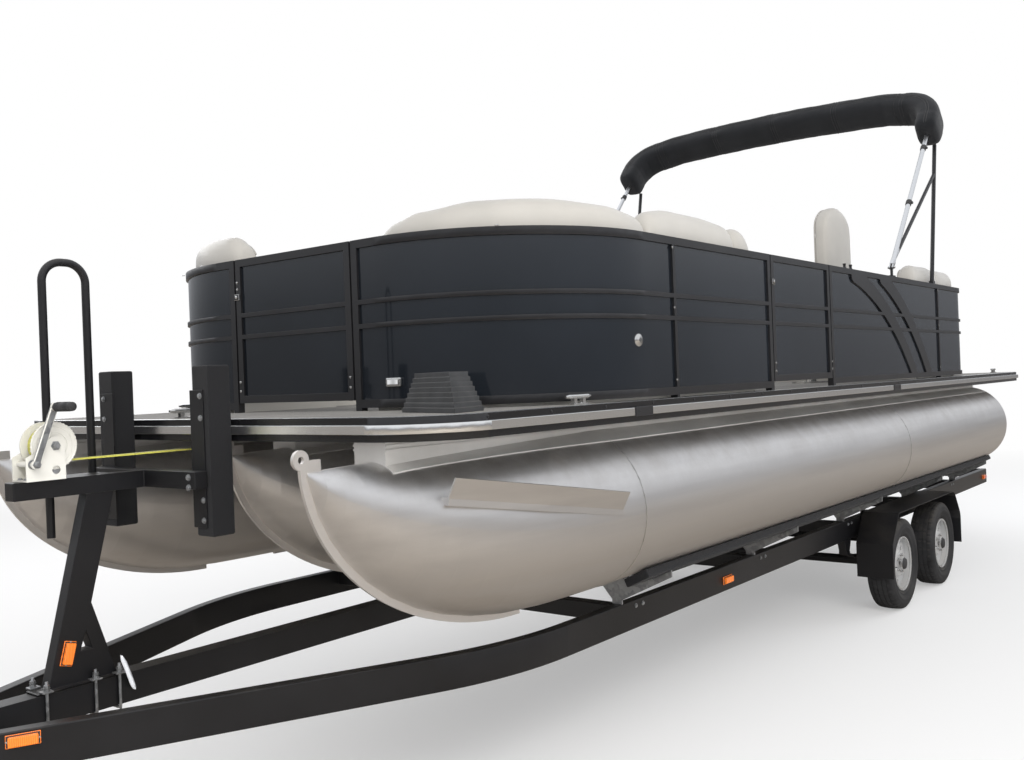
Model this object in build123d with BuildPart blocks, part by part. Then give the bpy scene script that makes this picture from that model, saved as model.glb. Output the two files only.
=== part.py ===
from build123d import *
from math import atan2, cos, degrees, hypot, pi, radians, sin, sqrt
import os

os.makedirs("parts", exist_ok=True)

# A three-tube pontoon boat parked on its own tandem-axle trailer.
# Millimetres. +X to the bow, +Y to port, +Z up. The ground is z = 0, and x = 0 is
# half way between the trailer's coupler and the back of the outboard's cowl.

# Overall places
deck_length = 7750.0
deck_width = 2530.0
tongue_reach = 1750.0           # coupler nose ahead of the deck's bow edge
motor_reach = 600.0             # back of the cowl behind the deck's stern edge
bow_x = (deck_length + motor_reach - tongue_reach) / 2
stern_x = bow_x - deck_length
seat_gap = 0.3                  # between a curved face and what it lies on

# Deck
deck_thickness = 22.0
cleat_edge = 65.0               # cleats from the deck's sides
bow_corner = 250.0
stern_corner = 120.0
beam_depth = 44.0               # cross beams under the deck
beam_width = 60.0
beam_wall = 5.0
beam_pitch = 560.0
rub_proud = 30.0
rub_height = 78.0

# Floats
tube_radius = 317.5
tube_inset = 292.0              # an outer tube's middle from the deck's side
float_rise = 152.5              # the tubes' undersides above the trailer's rails
tube_tail_inset = 565.0
tail_dome = 26.0
nose_start = 1170.0             # where an outer tube's nose begins, behind the bow edge
nose_reach = 237.0              # its tip ahead of the bow edge
centre_nose_setback = 450.0     # how far the middle tube's nose lies behind
nose_top_dip = 38.0
nose_tip_height = 26.0          # between keel and top at the very tip
nose_tip_back = 5.0             # the shell's end behind the stem's tip
stem_run = 992.0                # length of the keel's curved stretch
stem_thickness = 12.0
stem_proud = 20.0
stem_band = 60.0                # how deep the stem's bar is let into the nose
eye_radius = 30.0
eye_bore = 11.0
eye_rise = 2.0                  # above the stem's head
eye_ahead = 14.0                # of the nose's tip
keel_width = 14.0
keel_depth = 14.0
riser_rise = 46.5               # the beams' undersides above the tubes
riser_half = 70.0
riser_wall = 5.0
riser_rib = 6.0
riser_rib_levels = (12.0, 26.0, 40.0)   # below the beams
riser_foot_half = 165.0
riser_foot_nose = 105.0         # the same at the front end, over the nose
riser_foot_wall = 4.0
riser_front = 267.0             # riser's front end behind the tube's nose tip
riser_back = 80.0               # riser's back end ahead of the tube's tail
strake_length = 850.0
strake_front = 150.0            # its front end behind the bow edge

# Fence
fence_bow = 540.0               # outer face behind the bow edge
fence_stern = 1470.0            # outer face ahead of the stern edge
fence_edge = 15.0               # its outer face inside the deck's sides
fence_height = 668.0
fence_bow_radius = 750.0
fence_stern_radius = 360.0
fence_tube = 32.0
fence_joint = 20.0              # the slimmer posts where panels meet
sill_gap = 12.0                 # under the bottom tube
panel_inset = 10.0
panel_depth = 14.0
mid_rails = (330.0, 424.0)      # heights of the two ribs
mid_rail_height = 18.0
gate_gap = 10.0
gate_lift = 42.0                # a gate's bottom above the deck
bow_gate_half = 372.0
side_gate_front = 2500.0        # behind the bow edge
side_gate_back = 3291.0
stern_gate_width = 600.0
arch_width = 95.0               # the two curved bars on each rear panel
hinge_pin = 5.0
hinge_barrel = 9.0
hinge_inset = 10.0              # pin behind the frame's inner face
hinge_height = 26.0
hinge_lug = 26.0
hinge_low = 130.0               # above the deck
hinge_high = 520.0
pin_clearance = 0.05

# Furniture
base_height = 330.0
cushion_height = 120.0
seat_depth = 600.0
back_depth = 130.0
back_gap = 2.0                  # between a seat cushion and its back
back_top = 820.0
kick_depth = 45.0               # toe space under the front of the lounges
kick_height = 90.0
lining_gap = 12.0               # furniture from the fence
helm_front = 3560.0             # console, behind the bow edge
helm_back = 4260.0
helm_side = 100.0               # its outer side inside the fence
helm_width = 650.0
helm_height = 960.0
wheel_centre_height = 800.0
helm_wheel_radius = 165.0
helm_wheel_rim = 12.0
screen_height = 250.0
screen_thickness = 6.0
chair_post_radius = 38.0
chair_seat_height = 400.0
chair_seat = 500.0
chair_back_top = 1180.0
chair_helm_side = 450.0         # the helm chair's middle inside the fence
chair_mate_side = 630.0

# Bimini
bimini_pivot_x = 4420.0         # behind the bow edge
bimini_pivot_rise = 60.0        # above the fence
bimini_lean = 48.0              # degrees of the arms above level, leaning aft
bimini_arm_radius = 15.0
bimini_crest = 1790.0           # pivot to the middle of the arch
bimini_crown = 90.0             # the arch's rise over its ends
bimini_corner = 260.0
boot_start = 1340.0             # pivot to the lower edge of the boot
boot_depth = 250.0
boot_width = 170.0
boot_bevel = 45.0
strut_foot_x = 5310.0
strut_joint_x = 5459.0          # where the rear leg meets the strut
strut_joint_rise = 1469.0       # above the deck
strut_top_x = 5505.0
strut_top_rise = 1690.0

# Outboard
pivot_rise = 90.0               # tilt tube above the deck
pivot_back = 100.0              # and behind the stern edge
tilt_tube_radius = 14.0
clamp_half = 128.0
clamp_plate = 18.0
steer_back = 90.0               # steering shaft behind the tilt tube
steer_radius = 20.0
steer_top = 24.0                # top of the swivel above the tilt tube
steer_bottom = 326.0
transom_rise = 40.0
transom_thickness = 40.0
transom_clear = 35.0            # its front face behind the stern edge
shaft_length = 508.0
cowl_half = 170.0
cowl_front = 10.0               # its front behind the tilt tube
cowl_foot = 74.0                # its bottom above the tilt tube
cowl_height = 560.0
propeller_radius = 180.0
propeller_drop = 200.0          # its axis under the plate
hub_radius = 45.0

# Trailer
rail_top = 626.0
rail_height = 127.0
rail_width = 51.0
rail_centre = 900.0
rail_back = 220.0               # rails' back end behind the stern edge
rail_bend = 800.0               # where the rails turn in, behind the bow edge
rail_bend_radius = 1500.0
tongue_slope = 0.461            # the rails' run in, sideways over ahead
tongue_top = 656.0
tongue_height = 102.0
tongue_width = 76.0
cross_height = 76.0
cross_width = 64.0
axle_radius = 30.0
wheel_radius = 302.0
wheel_width = 178.0
wheel_track = 2172.0            # between the middles of a pair of tyres
rim_radius = 178.0
rim_wall = 8.0
axle_places = (4684.0, 5592.0)  # behind the bow edge
bunk_angle = 26.0
bunk_width = 120.0
bunk_thickness = 38.0
bunk_front = 1350.0             # behind the bow edge
bunk_back = 7050.0
bracket_plate = 8.0
fender_gap = 62.0
fender_sheet = 4.0
fender_width = 236.0
jack_x = 1300.0                 # ahead of the bow edge
jack_side = 110.0
jack_tube_radius = 32.0
jack_leg_radius = 25.0
jack_clearance = 0.4
jack_travel = 300.0
post_foot = 549.0               # winch post, ahead of the bow edge
post_head = 390.0
post_width = 51.0
post_depth = 100.0
neck_back = 162.0               # where the post's brace leaves it, behind the foot
neck_rise = 267.0
brace_back = 249.0              # the brace's heel, behind the foot
window_places = ((138.0, 174.0), (158.0, 112.0), (117.0, 112.0))   # back, rise of the corners
arm_drop = 172.0                # the stand's arm under the deck's surface
arm_height = 60.0
arm_half = 30.0
arm_reach = 640.0               # the arm's end, ahead of the bow edge
cross_bar_half = 25.0
foot_plate = 8.0
guide_half = 305.0
guide_width = 89.0
guide_board = 89.0
guide_below = 400.0             # the stop boards, under and over the deck's surface
guide_above = 190.0
guide_angle = 6.0
guide_angle_top = 106.0         # the bracket's ends, over and under the deck's surface
guide_angle_foot = 370.0
guide_angle_inboard = 56.0      # the bracket's edges, inboard and outboard of its board's middle
guide_angle_outboard = 18.0
drum_radius = 78.0
drum_x = 504.0                  # ahead of the bow edge
drum_rise = 112.0
coupler_socket = 30.0
coupler_depth = 72.0

tube_z = rail_top + float_rise + tube_radius
beam_under = tube_z + tube_radius + riser_rise
deck_under = beam_under + beam_depth
deck_top = deck_under + deck_thickness
tube_spacing = deck_width / 2 - tube_inset
fence_half = deck_width / 2 - fence_edge
fence_top = deck_top + fence_height
arm_top = deck_top - arm_drop
arm_under = arm_top - arm_height
tail_x = stern_x + tube_tail_inset
fence_bow_x = bow_x - fence_bow
fence_stern_x = stern_x + fence_stern
cross_places = (1550.0, 2900.0, 4250.0, 5600.0, 6900.0)   # behind the bow edge
rail_rear_x = stern_x - rail_back
bend_x = bow_x - rail_bend


def section_at(x):
    """Sketches in Y and Z, extruded towards the bow."""
    return Plane(origin=(x, 0, 0), x_dir=(0, 1, 0), z_dir=(1, 0, 0))


def side_at(y):
    """Sketches in X and Z, extruded towards starboard."""
    return Plane(origin=(0, y, 0), x_dir=(1, 0, 0), z_dir=(0, -1, 0))


def block(x0, x1, y0, y1, z0, z1, mode=Mode.ADD):
    with Locations(((x0 + x1) / 2, (y0 + y1) / 2, (z0 + z1) / 2)):
        Box(abs(x1 - x0), abs(y1 - y0), abs(z1 - z0), mode=mode)


def rod(start, end, radius, mode=Mode.ADD):
    """A round bar between two points."""
    a, b = Vector(*start), Vector(*end)
    with Locations(Plane(origin=(a + b) * 0.5, z_dir=b - a).location):
        Cylinder(radius, (b - a).length, mode=mode)


def outline(front, back, half, front_radius, back_radius, inset=0.0):
    """Plan of a deck or fence: a rectangle with its own bow and stern corners."""
    with BuildSketch() as plan:
        with Locations(((front + back) / 2, 0)):
            Rectangle(front - back - 2 * inset, 2 * (half - inset))
        fillet(plan.vertices().group_by(Axis.X)[-1], max(front_radius - inset, 1))
        fillet(plan.vertices().group_by(Axis.X)[0], max(back_radius - inset, 1))
    return plan.sketch


def deck_outline(grow=0.0):
    return outline(bow_x, stern_x, deck_width / 2, bow_corner, stern_corner, -grow)


def fence_outline(inset):
    return outline(
        fence_bow_x, fence_stern_x, fence_half, fence_bow_radius, fence_stern_radius, inset
    )


def fence_band(inset, depth):
    return fence_outline(inset) - fence_outline(inset + depth)


def region(x0, x1, y0, y1):
    with BuildSketch() as area:
        with Locations(((x0 + x1) / 2, (y0 + y1) / 2)):
            Rectangle(abs(x1 - x0), abs(y1 - y0))
    return area.sketch


# Deck, rub rail and the beams under the deck
with BuildPart() as deck:
    with BuildSketch(Plane.XY.offset(deck_under)):
        add(deck_outline())
    extrude(amount=deck_thickness)

# height above the rail's foot, height of the step, outward reach
rub_steps = (
    (0.0, 24.0, 0.55 * rub_proud),
    (24.0, 30.0, rub_proud),
    (54.0, rub_height - 54.0, 0.5 * rub_proud),
)
with BuildPart() as deck_rail:
    for rise, height, reach in rub_steps:
        with BuildSketch(Plane.XY.offset(deck_top - rub_height + rise)):
            add(deck_outline(reach) - deck_outline(seat_gap))
        extrude(amount=height)

beam_count = int((deck_length - 2 * bow_corner) / beam_pitch) + 1
beam_half = deck_width / 2 - 20
beam_step = (deck_length - 2 * bow_corner - 2 * beam_width) / (beam_count - 1)
beam_places = [bow_x - bow_corner - beam_width - i * beam_step for i in range(beam_count)]
with BuildPart() as deck_beams:
    for x in beam_places:
        block(x - beam_width / 2, x + beam_width / 2, -beam_half, beam_half, beam_under, deck_under)
        block(
            x - beam_width / 2,
            x + beam_width / 2 - beam_wall,
            -beam_half,
            beam_half,
            beam_under + beam_wall,
            deck_under - beam_wall,
            Mode.SUBTRACT,
        )

# Floats
nose_length = nose_start + nose_reach
stem_height = 2 * tube_radius - 3
stem_z = tube_z - tube_radius + stem_height


def nose_section(tip, y, t, grow):
    """The nose's outline at t of its length: round above, two long arcs to the keel."""
    half = max(tube_radius * (1 - t**2.2) ** 0.6, stem_thickness * 0.9) + grow
    top = tube_z + tube_radius - nose_top_dip * t + grow
    u = max(0.0, (t * nose_length - (nose_length - stem_run)) / stem_run)
    keel = min(stem_z - stem_height * sqrt(max(0.0, 1 - u**2)), top - nose_tip_height) - grow
    middle = top - half
    drop = middle - keel
    bow = (half**2 + drop**2) / (2 * half)
    turn = atan2(drop, bow - half) / 2
    belly_y = half - bow + bow * cos(turn)
    belly_z = middle - bow * sin(turn)
    diagonal = half * cos(radians(45))
    place = (tip - nose_length * (1 - t) - nose_tip_back * t, y, 0)
    with BuildSketch(Plane(origin=place, x_dir=(0, 1, 0), z_dir=(1, 0, 0))) as section:
        with BuildLine():
            ThreePointArc((0, keel), (belly_y, belly_z), (half, middle))
            ThreePointArc((half, middle), (diagonal, middle + diagonal), (0, top))
            ThreePointArc((0, top), (-diagonal, middle + diagonal), (-half, middle))
            ThreePointArc((-half, middle), (-belly_y, belly_z), (0, keel))
        make_face()
    return section.sketch


nose_stations = (0.0, 0.04, 0.16, 0.28, 0.4, 0.5, 0.6, 0.69, 0.77, 0.84, 0.9, 0.945, 0.975, 1.0)


def float_form(tip, y, grow=0.0):
    """A float's bare outside: the tube with its domed tail, and the nose."""
    with BuildPart() as form:
        rod((tail_x, y, tube_z), (tip - nose_length, y, tube_z), tube_radius + grow)
        chamfer(form.edges().filter_by(GeomType.CIRCLE).group_by(Axis.X)[0], tail_dome)
        loft(sections=[nose_section(tip, y, t, grow) for t in nose_stations], ruled=True)
    return form.part


def strake_section(x, y, z, side):
    """A fin's outline: a foot on the float, then a web that flares out and up."""
    points = ((-25, 0), (4, 0), (4, 22), (38, 88), (34, 90), (0, 26), (-25, 26))
    with BuildSketch(section_at(x)) as section:
        with BuildLine():
            Polyline([(side * (y + out), z + up) for out, up in points], close=True)
        make_face()
    return section.sketch


# a strake's stations: share of its length, outward from the tube's middle, above the tube's middle
strake_stations = ((0.0, 215.0, 145.0), (0.5, 289.0, 77.5), (1.0, 317.0, 10.0))


def pontoon(tip, y):
    """One float: tube, nose, stem with its eye, and keel, with a strake on the outer ones."""
    start = tip - nose_length
    with BuildPart() as tube:
        add(float_form(tip, y))
        if y:
            side = 1 if y > 0 else -1
            loft(
                sections=[
                    strake_section(
                        bow_x - strake_front - share * strake_length, abs(y) + out, tube_z + up, side
                    )
                    for share, out, up in strake_stations
                ],
                ruled=True,
            )
        with BuildSketch(side_at(y + stem_thickness / 2)):
            with Locations((tip - stem_run, stem_z)):
                Ellipse(stem_run + stem_proud, stem_height + stem_proud)
                Ellipse(stem_run - stem_band, stem_height - stem_band, mode=Mode.SUBTRACT)
            quarter = (tip - stem_run / 2 + stem_proud, stem_z - stem_height / 2 - stem_proud)
            with Locations(quarter):
                Rectangle(stem_run + 2 * stem_proud, stem_height + 2 * stem_proud, mode=Mode.INTERSECT)
            with Locations((tip + eye_ahead, stem_z + eye_rise)):
                Circle(eye_radius)
                Circle(eye_bore, mode=Mode.SUBTRACT)
        extrude(amount=stem_thickness)
        keel_low = tube_z - tube_radius - keel_depth
        keel_side = keel_width / 2
        block(tail_x + 2 * tail_dome, start, y - keel_side, y + keel_side, keel_low, keel_low + 22)
    return tube


outer_tip = bow_x + nose_reach
centre_tip = outer_tip - centre_nose_setback
pontoon_port = pontoon(outer_tip, tube_spacing)
pontoon_centre = pontoon(centre_tip, 0)
pontoon_starboard = pontoon(outer_tip, -tube_spacing)

# Risers: a ribbed channel on each tube that carries the beams, with a foot that lies along the tube
riser_low = tube_z + tube_radius / 2
with BuildPart() as risers:
    for tip, y in ((outer_tip, tube_spacing), (centre_tip, 0), (outer_tip, -tube_spacing)):
        back_end = tail_x + riser_back
        front_end = tip - riser_front
        with BuildPart() as foot:
            with BuildSketch(Plane.XY.offset(riser_low)):
                with BuildLine():
                    Polyline(
                        (back_end, y + riser_foot_half),
                        (tip - nose_length, y + riser_foot_half),
                        (front_end, y + riser_foot_nose),
                        (front_end, y - riser_foot_nose),
                        (tip - nose_length, y - riser_foot_half),
                        (back_end, y - riser_foot_half),
                        close=True,
                    )
                make_face()
            extrude(amount=beam_under - riser_low)
            add(float_form(tip, y, seat_gap + riser_foot_wall), mode=Mode.INTERSECT)
        add(foot.part)
        block(back_end, front_end, y - riser_half, y + riser_half, riser_low, beam_under)
        for level in riser_rib_levels:
            rib_z = beam_under - level
            rib_y = riser_half + riser_rib
            block(back_end, front_end, y - rib_y, y + rib_y, rib_z - riser_rib / 2, rib_z + riser_rib / 2)
        block(
            back_end - 1,
            front_end - riser_wall,
            y - riser_half + riser_wall,
            y + riser_half - riser_wall,
            riser_low - 1,
            beam_under - riser_wall,
            Mode.SUBTRACT,
        )
        add(float_form(tip, y, seat_gap), mode=Mode.SUBTRACT)

# Fence: rails and posts, then the panels between them
rail_levels = (
    (deck_top + sill_gap, fence_tube),
    (fence_top - fence_tube, fence_tube),
)
gate_levels = (
    (deck_top + gate_lift, fence_tube),
    (fence_top - fence_tube, fence_tube),
)
side_front_x = bow_x - side_gate_front
side_back_x = bow_x - side_gate_back
corner_y = fence_half - fence_stern_radius
far = fence_half + 50
stern_gate_right = 10 - corner_y
stern_gate_left = stern_gate_right + stern_gate_width
port_areas = (
    region(fence_bow_x + 50, side_front_x, bow_gate_half, far),
    region(side_back_x, fence_stern_x - 50, corner_y + seat_gap, far),
)
starboard_areas = (
    region(fence_bow_x + 50, side_back_x, -bow_gate_half, -far),
    region(side_back_x - seat_gap, fence_stern_x - 50, stern_gate_right, -far),
)
stern_areas = (region(fence_stern_x + 100, fence_stern_x - 50, stern_gate_left, corner_y),)
joint_front_x = bow_x - 1525.0
joint_rear_x = bow_x - 5379.0
# post areas: x0, x1, y0, y1
port_posts = (
    (fence_bow_x + 20, fence_bow_x - 60, bow_gate_half, bow_gate_half + fence_tube),
    (joint_front_x, joint_front_x - fence_joint, 900, far),
    (side_front_x + fence_tube, side_front_x, 900, far),
    (side_back_x, side_back_x - fence_tube, 900, far),
    (joint_rear_x, joint_rear_x - fence_joint, 900, far),
    (fence_stern_x + 60, fence_stern_x - 20, corner_y + seat_gap, corner_y + fence_joint),
)
starboard_posts = (
    (fence_bow_x + 20, fence_bow_x - 60, -bow_gate_half, -bow_gate_half - fence_tube),
    (joint_front_x, joint_front_x - fence_joint, -900, -far),
    (side_front_x + fence_joint, side_front_x, -900, -far),
    (side_back_x, side_back_x + fence_joint, -900, -far),
    (side_back_x - seat_gap, side_back_x - fence_joint, -900, -far),
    (joint_rear_x, joint_rear_x - fence_joint, -900, -far),
    (fence_stern_x + 60, fence_stern_x - 20, stern_gate_right, stern_gate_right - fence_tube),
)
stern_posts = (
    (fence_stern_x + 60, fence_stern_x - 20, stern_gate_left, stern_gate_left + fence_tube),
    (fence_stern_x + 60, fence_stern_x - 20, corner_y - fence_joint, corner_y),
)


def hinge_place(x, y, turn, z):
    """A hinge's own axes: +X along the closed gate, +Y towards the fence's outside."""
    return Location((x, y, z), (0, 0, turn))


def hinge_fixed(x, y, turn, flip):
    """Pin and two lugs on the post's inner face."""
    for z in (deck_top + hinge_low, deck_top + hinge_high):
        with Locations(hinge_place(x, y, turn, z)):
            Cylinder(hinge_pin, hinge_height + 24)
            for side in (1, -1):
                web_y = flip * (hinge_inset + 1 - hinge_pin) / 2
                with Locations((-hinge_lug / 2, web_y, side * (hinge_height / 2 + 7))):
                    Box(hinge_lug, hinge_inset + 1 + hinge_pin, 10)


def hinge_moving(x, y, turn, flip):
    """A barrel round the pin, with a lug on the gate's inner face."""
    for z in (deck_top + hinge_low, deck_top + hinge_high):
        with Locations(hinge_place(x, y, turn, z)):
            with Locations((hinge_lug / 2, flip * (hinge_inset + 1 - hinge_pin) / 2, 0)):
                Box(hinge_lug, hinge_inset + 1 + hinge_pin, hinge_height - 2)
            Cylinder(hinge_barrel, hinge_height)
            Cylinder(hinge_pin + pin_clearance, hinge_height + 2, mode=Mode.SUBTRACT)


# gate pins: x, y, turn of the closed gate from +X, side of the fence's outside
bow_pin = (fence_bow_x - fence_tube - hinge_inset, bow_gate_half - gate_gap / 2, -90.0, 1)
side_pin = (side_back_x + gate_gap / 2, fence_half - fence_tube - hinge_inset, 0.0, 1)
stern_pin = (fence_stern_x + fence_tube + hinge_inset, stern_gate_right + gate_gap / 2, 90.0, 1)

# the curved bars' middle lines: behind the bow edge and above the deck, top, middle and foot
arch_lines = (
    ((3686.0, 639.0), (4316.0, 404.0), (4781.0, 41.0)),
    ((4181.0, 652.0), (4741.0, 374.0), (5113.0, 42.0)),
)


def fence_arches(face_y):
    """Two curved flat bars across a rear panel, from under the rail down to the sill."""
    sill = deck_top + sill_gap + fence_tube / 2
    top = fence_top - fence_tube / 2
    for points in arch_lines:
        with BuildSketch(side_at(face_y)) as bar:
            with BuildLine():
                ThreePointArc(*[(bow_x - place, deck_top + rise) for place, rise in points])
                offset(amount=arch_width / 2)
            make_face()
            with Locations((bow_x - points[1][0], (sill + top) / 2)):
                Rectangle(3 * fence_height, top - sill, mode=Mode.INTERSECT)
        extrude(bar.sketch, amount=panel_inset - seat_gap)


full_band = fence_band(0, fence_tube)
rib_band = fence_band(0, panel_inset - seat_gap)
panel_band = fence_band(panel_inset, panel_depth)

frames = (
    ("fence_port_frame", port_areas, port_posts, (side_pin,), (bow_pin,)),
    ("fence_starboard_frame", starboard_areas, starboard_posts, (stern_pin,), ()),
    ("fence_stern_frame", stern_areas, stern_posts, (), ()),
)
fence_pieces = {}
for name, areas, posts, pins, more_pins in frames:
    with BuildPart() as frame:
        for area in areas:
            for level, height in rail_levels:
                with BuildSketch(Plane.XY.offset(level)):
                    add(full_band & area)
                extrude(amount=height)
            for level in mid_rails:
                with BuildSketch(Plane.XY.offset(deck_top + level - mid_rail_height / 2)):
                    add(rib_band & area)
                extrude(amount=mid_rail_height)
        for post in posts:
            with BuildSketch(Plane.XY.offset(deck_top)):
                add(full_band & region(*post))
            extrude(amount=fence_height)
        for pin in pins + more_pins:
            hinge_fixed(*pin)
        if name == "fence_port_frame":
            fence_arches(fence_half)
        if name == "fence_starboard_frame":
            fence_arches(panel_inset - seat_gap - fence_half)
    fence_pieces[name] = frame

with BuildPart() as fence_panels:
    for name, areas, posts, pins, more_pins in frames:
        open_band = panel_band
        for post in posts:
            open_band = open_band - region(*post)
        for area in areas:
            with BuildSketch(Plane.XY.offset(deck_top + sill_gap + fence_tube)):
                add(open_band & area)
            extrude(amount=fence_height - sill_gap - 2 * fence_tube)
fence_pieces["fence_panels"] = fence_panels

# gate areas: x0, x1, y0, y1 and the way its posts run
half_gate = bow_gate_half - gate_gap
gates = (
    ("bow_gate", (fence_bow_x + 20, fence_bow_x - 60, -half_gate, half_gate), "Y", bow_pin),
    ("side_gate", (side_back_x + gate_gap, side_front_x - gate_gap, 900, far), "X", side_pin),
    (
        "stern_gate",
        (fence_stern_x - 20, fence_stern_x + 60, stern_gate_right + gate_gap, stern_gate_left - gate_gap),
        "Y",
        stern_pin,
    ),
)
for name, (x0, x1, y0, y1), way, pin in gates:
    area = region(x0, x1, y0, y1)
    inner = (
        region(x0 + fence_tube, x1 - fence_tube, y0, y1)
        if way == "X"
        else region(x0, x1, y0 + fence_tube, y1 - fence_tube)
    )
    with BuildPart() as frame:
        for level, height in gate_levels:
            with BuildSketch(Plane.XY.offset(level)):
                add(full_band & area)
            extrude(amount=height)
        for level in mid_rails:
            with BuildSketch(Plane.XY.offset(deck_top + level - mid_rail_height / 2)):
                add(rib_band & area)
            extrude(amount=mid_rail_height)
        with BuildSketch(Plane.XY.offset(deck_top + gate_lift)):
            add((full_band & area) - inner)
        extrude(amount=fence_height - gate_lift)
        hinge_moving(*pin)
    fence_pieces[name + "_frame"] = frame
    with BuildPart() as panel:
        with BuildSketch(Plane.XY.offset(deck_top + gate_lift + fence_tube)):
            add(panel_band & inner)
        extrude(amount=fence_height - gate_lift - 2 * fence_tube)
    fence_pieces[name + "_panel"] = panel

# Lounges: a base, a cushion and a back that follow the fence
inner_face = fence_tube + hinge_inset + hinge_barrel + lining_gap
seat_plan = fence_outline(inner_face) - fence_outline(inner_face + seat_depth)
back_plan = fence_outline(inner_face) - fence_outline(inner_face + back_depth)
lounge_areas = (
    region(fence_bow_x, side_front_x + 90, bow_gate_half + 60, far),
    region(fence_bow_x, bow_x - helm_front + 160, -bow_gate_half - 60, -far),
    region(bow_x - 5000, fence_stern_x, stern_gate_left + 60, far),
)
kick_plan = fence_outline(inner_face) - fence_outline(inner_face + seat_depth - kick_depth)
with BuildPart() as lounge_bases:
    for plan, foot, height in (
        (kick_plan, 0.0, kick_height),
        (seat_plan, kick_height, base_height - kick_height),
    ):
        with BuildSketch(Plane.XY.offset(deck_top + foot)):
            for area in lounge_areas:
                add(plan & area)
        extrude(amount=height)
with BuildPart() as lounge_seats:
    with BuildSketch(Plane.XY.offset(deck_top + base_height + seat_gap)):
        for area in lounge_areas:
            add(seat_plan & fence_outline(inner_face + back_depth + back_gap) & area)
    extrude(amount=cushion_height)
with BuildPart() as lounge_backs:
    with BuildSketch(Plane.XY.offset(deck_top + base_height + seat_gap)):
        for area in lounge_areas:
            add(back_plan & area)
    extrude(amount=back_top - base_height)

# Helm
helm_x0 = bow_x - helm_front
helm_x1 = bow_x - helm_back
helm_right = helm_side - fence_half
helm_left = helm_right + helm_width
wheel_z = deck_top + wheel_centre_height
dash_run = 200.0
dash_foot = 640.0
with BuildPart() as helm_console:
    with BuildSketch(side_at(helm_left)):
        with BuildLine():
            Polyline(
                (helm_x0 - 60, deck_top),
                (helm_x0, deck_top + helm_height - 200),
                (helm_x0 - 160, deck_top + helm_height),
                (helm_x1 + dash_run, deck_top + helm_height),
                (helm_x1, deck_top + dash_foot),
                (helm_x1 + 60, deck_top),
                close=True,
            )
        make_face()
    extrude(amount=helm_left - helm_right)
dash_tilt = degrees(atan2(dash_run, helm_height - dash_foot))
dash_share = (wheel_centre_height - dash_foot) / (helm_height - dash_foot)
hub_point = Vector(helm_x1 + dash_run * dash_share, (helm_left + helm_right) / 2, wheel_z)
wheel_axis = Vector(-cos(radians(dash_tilt)), 0, sin(radians(dash_tilt)))
column_length = 70.0
wheel_centre = hub_point + wheel_axis * (column_length + 30)
with BuildPart() as steering_wheel:
    with Locations(Plane(origin=wheel_centre, z_dir=wheel_axis).location):
        Cylinder(32, 30)
        with PolarLocations(helm_wheel_radius / 2, 3, start_angle=90):
            Box(helm_wheel_radius - 20, 26, 10)
    rim_plane = Plane(origin=wheel_centre, x_dir=(0, 1, 0), z_dir=wheel_axis.cross(Vector(0, 1, 0)))
    with BuildSketch(rim_plane):
        with Locations((helm_wheel_radius, 0)):
            RegularPolygon(helm_wheel_rim, 8)
    revolve(axis=Axis(wheel_centre, wheel_axis))
    rod(hub_point + wheel_axis * seat_gap, wheel_centre, 14)
with BuildPart() as helm_windscreen:
    with BuildSketch(Plane.XY.offset(deck_top + helm_height)):
        with Locations((helm_x0 - 220, (helm_left + helm_right) / 2)):
            Rectangle(60, helm_left - helm_right - 40)
            Rectangle(60 + 2, helm_left - helm_right - 40 - 2 * screen_thickness, mode=Mode.SUBTRACT)
        with Locations((helm_x0 - 190 - screen_thickness / 2, (helm_left + helm_right) / 2)):
            Rectangle(screen_thickness, helm_left - helm_right - 40)
    extrude(amount=screen_height)

# Chairs: x behind the bow edge, y, turn of the seat from facing the bow
chairs = (
    ("helm_chair", 4930.0, chair_helm_side - fence_half, 0.0),
    ("mate_chair", 4560.0, fence_half - chair_mate_side, -90.0),
)
with BuildPart() as chair_posts:
    for name, place, y, turn in chairs:
        with Locations((bow_x - place, y, deck_top + 6)):
            Cylinder(130, 12)
        with Locations((bow_x - place, y, deck_top + (chair_seat_height - seat_gap) / 2)):
            Cylinder(chair_post_radius, chair_seat_height - seat_gap)
chair_cushion = 130.0
chair_corner = 70.0
chair_back_depth = 110.0
chair_back_half = 220.0
chair_back_corner = 150.0
arm_rest = (330.0, 60.0, 46.0)  # length, width and height
arm_rest_rise = 225.0           # above the seat's underside
chair_pieces = {}
for name, place, y, turn in chairs:
    with BuildPart() as shape:
        with BuildSketch(Plane.XY.offset(chair_seat_height)):
            RectangleRounded(chair_seat, chair_seat, chair_corner)
        extrude(amount=chair_cushion)
        with BuildSketch(section_at(-chair_seat / 2)) as back:
            with Locations((0, (chair_seat_height + 10 + chair_back_top) / 2)):
                Rectangle(2 * chair_back_half, chair_back_top - chair_seat_height - 10)
            fillet(back.vertices().group_by(Axis.Y)[-1], chair_back_corner)
        extrude(amount=chair_back_depth)
        for side in (1, -1):
            rest_length, rest_width, rest_height = arm_rest
            with Locations(
                (
                    (rest_length - chair_seat) / 2,
                    side * (chair_seat - rest_width) / 2,
                    chair_seat_height + arm_rest_rise,
                )
            ):
                Box(rest_length, rest_width, rest_height)
    with BuildPart() as chair:
        with Locations(Location((bow_x - place, y, deck_top), (0, 0, turn))):
            add(shape.part)
    chair_pieces[name] = chair

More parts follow.
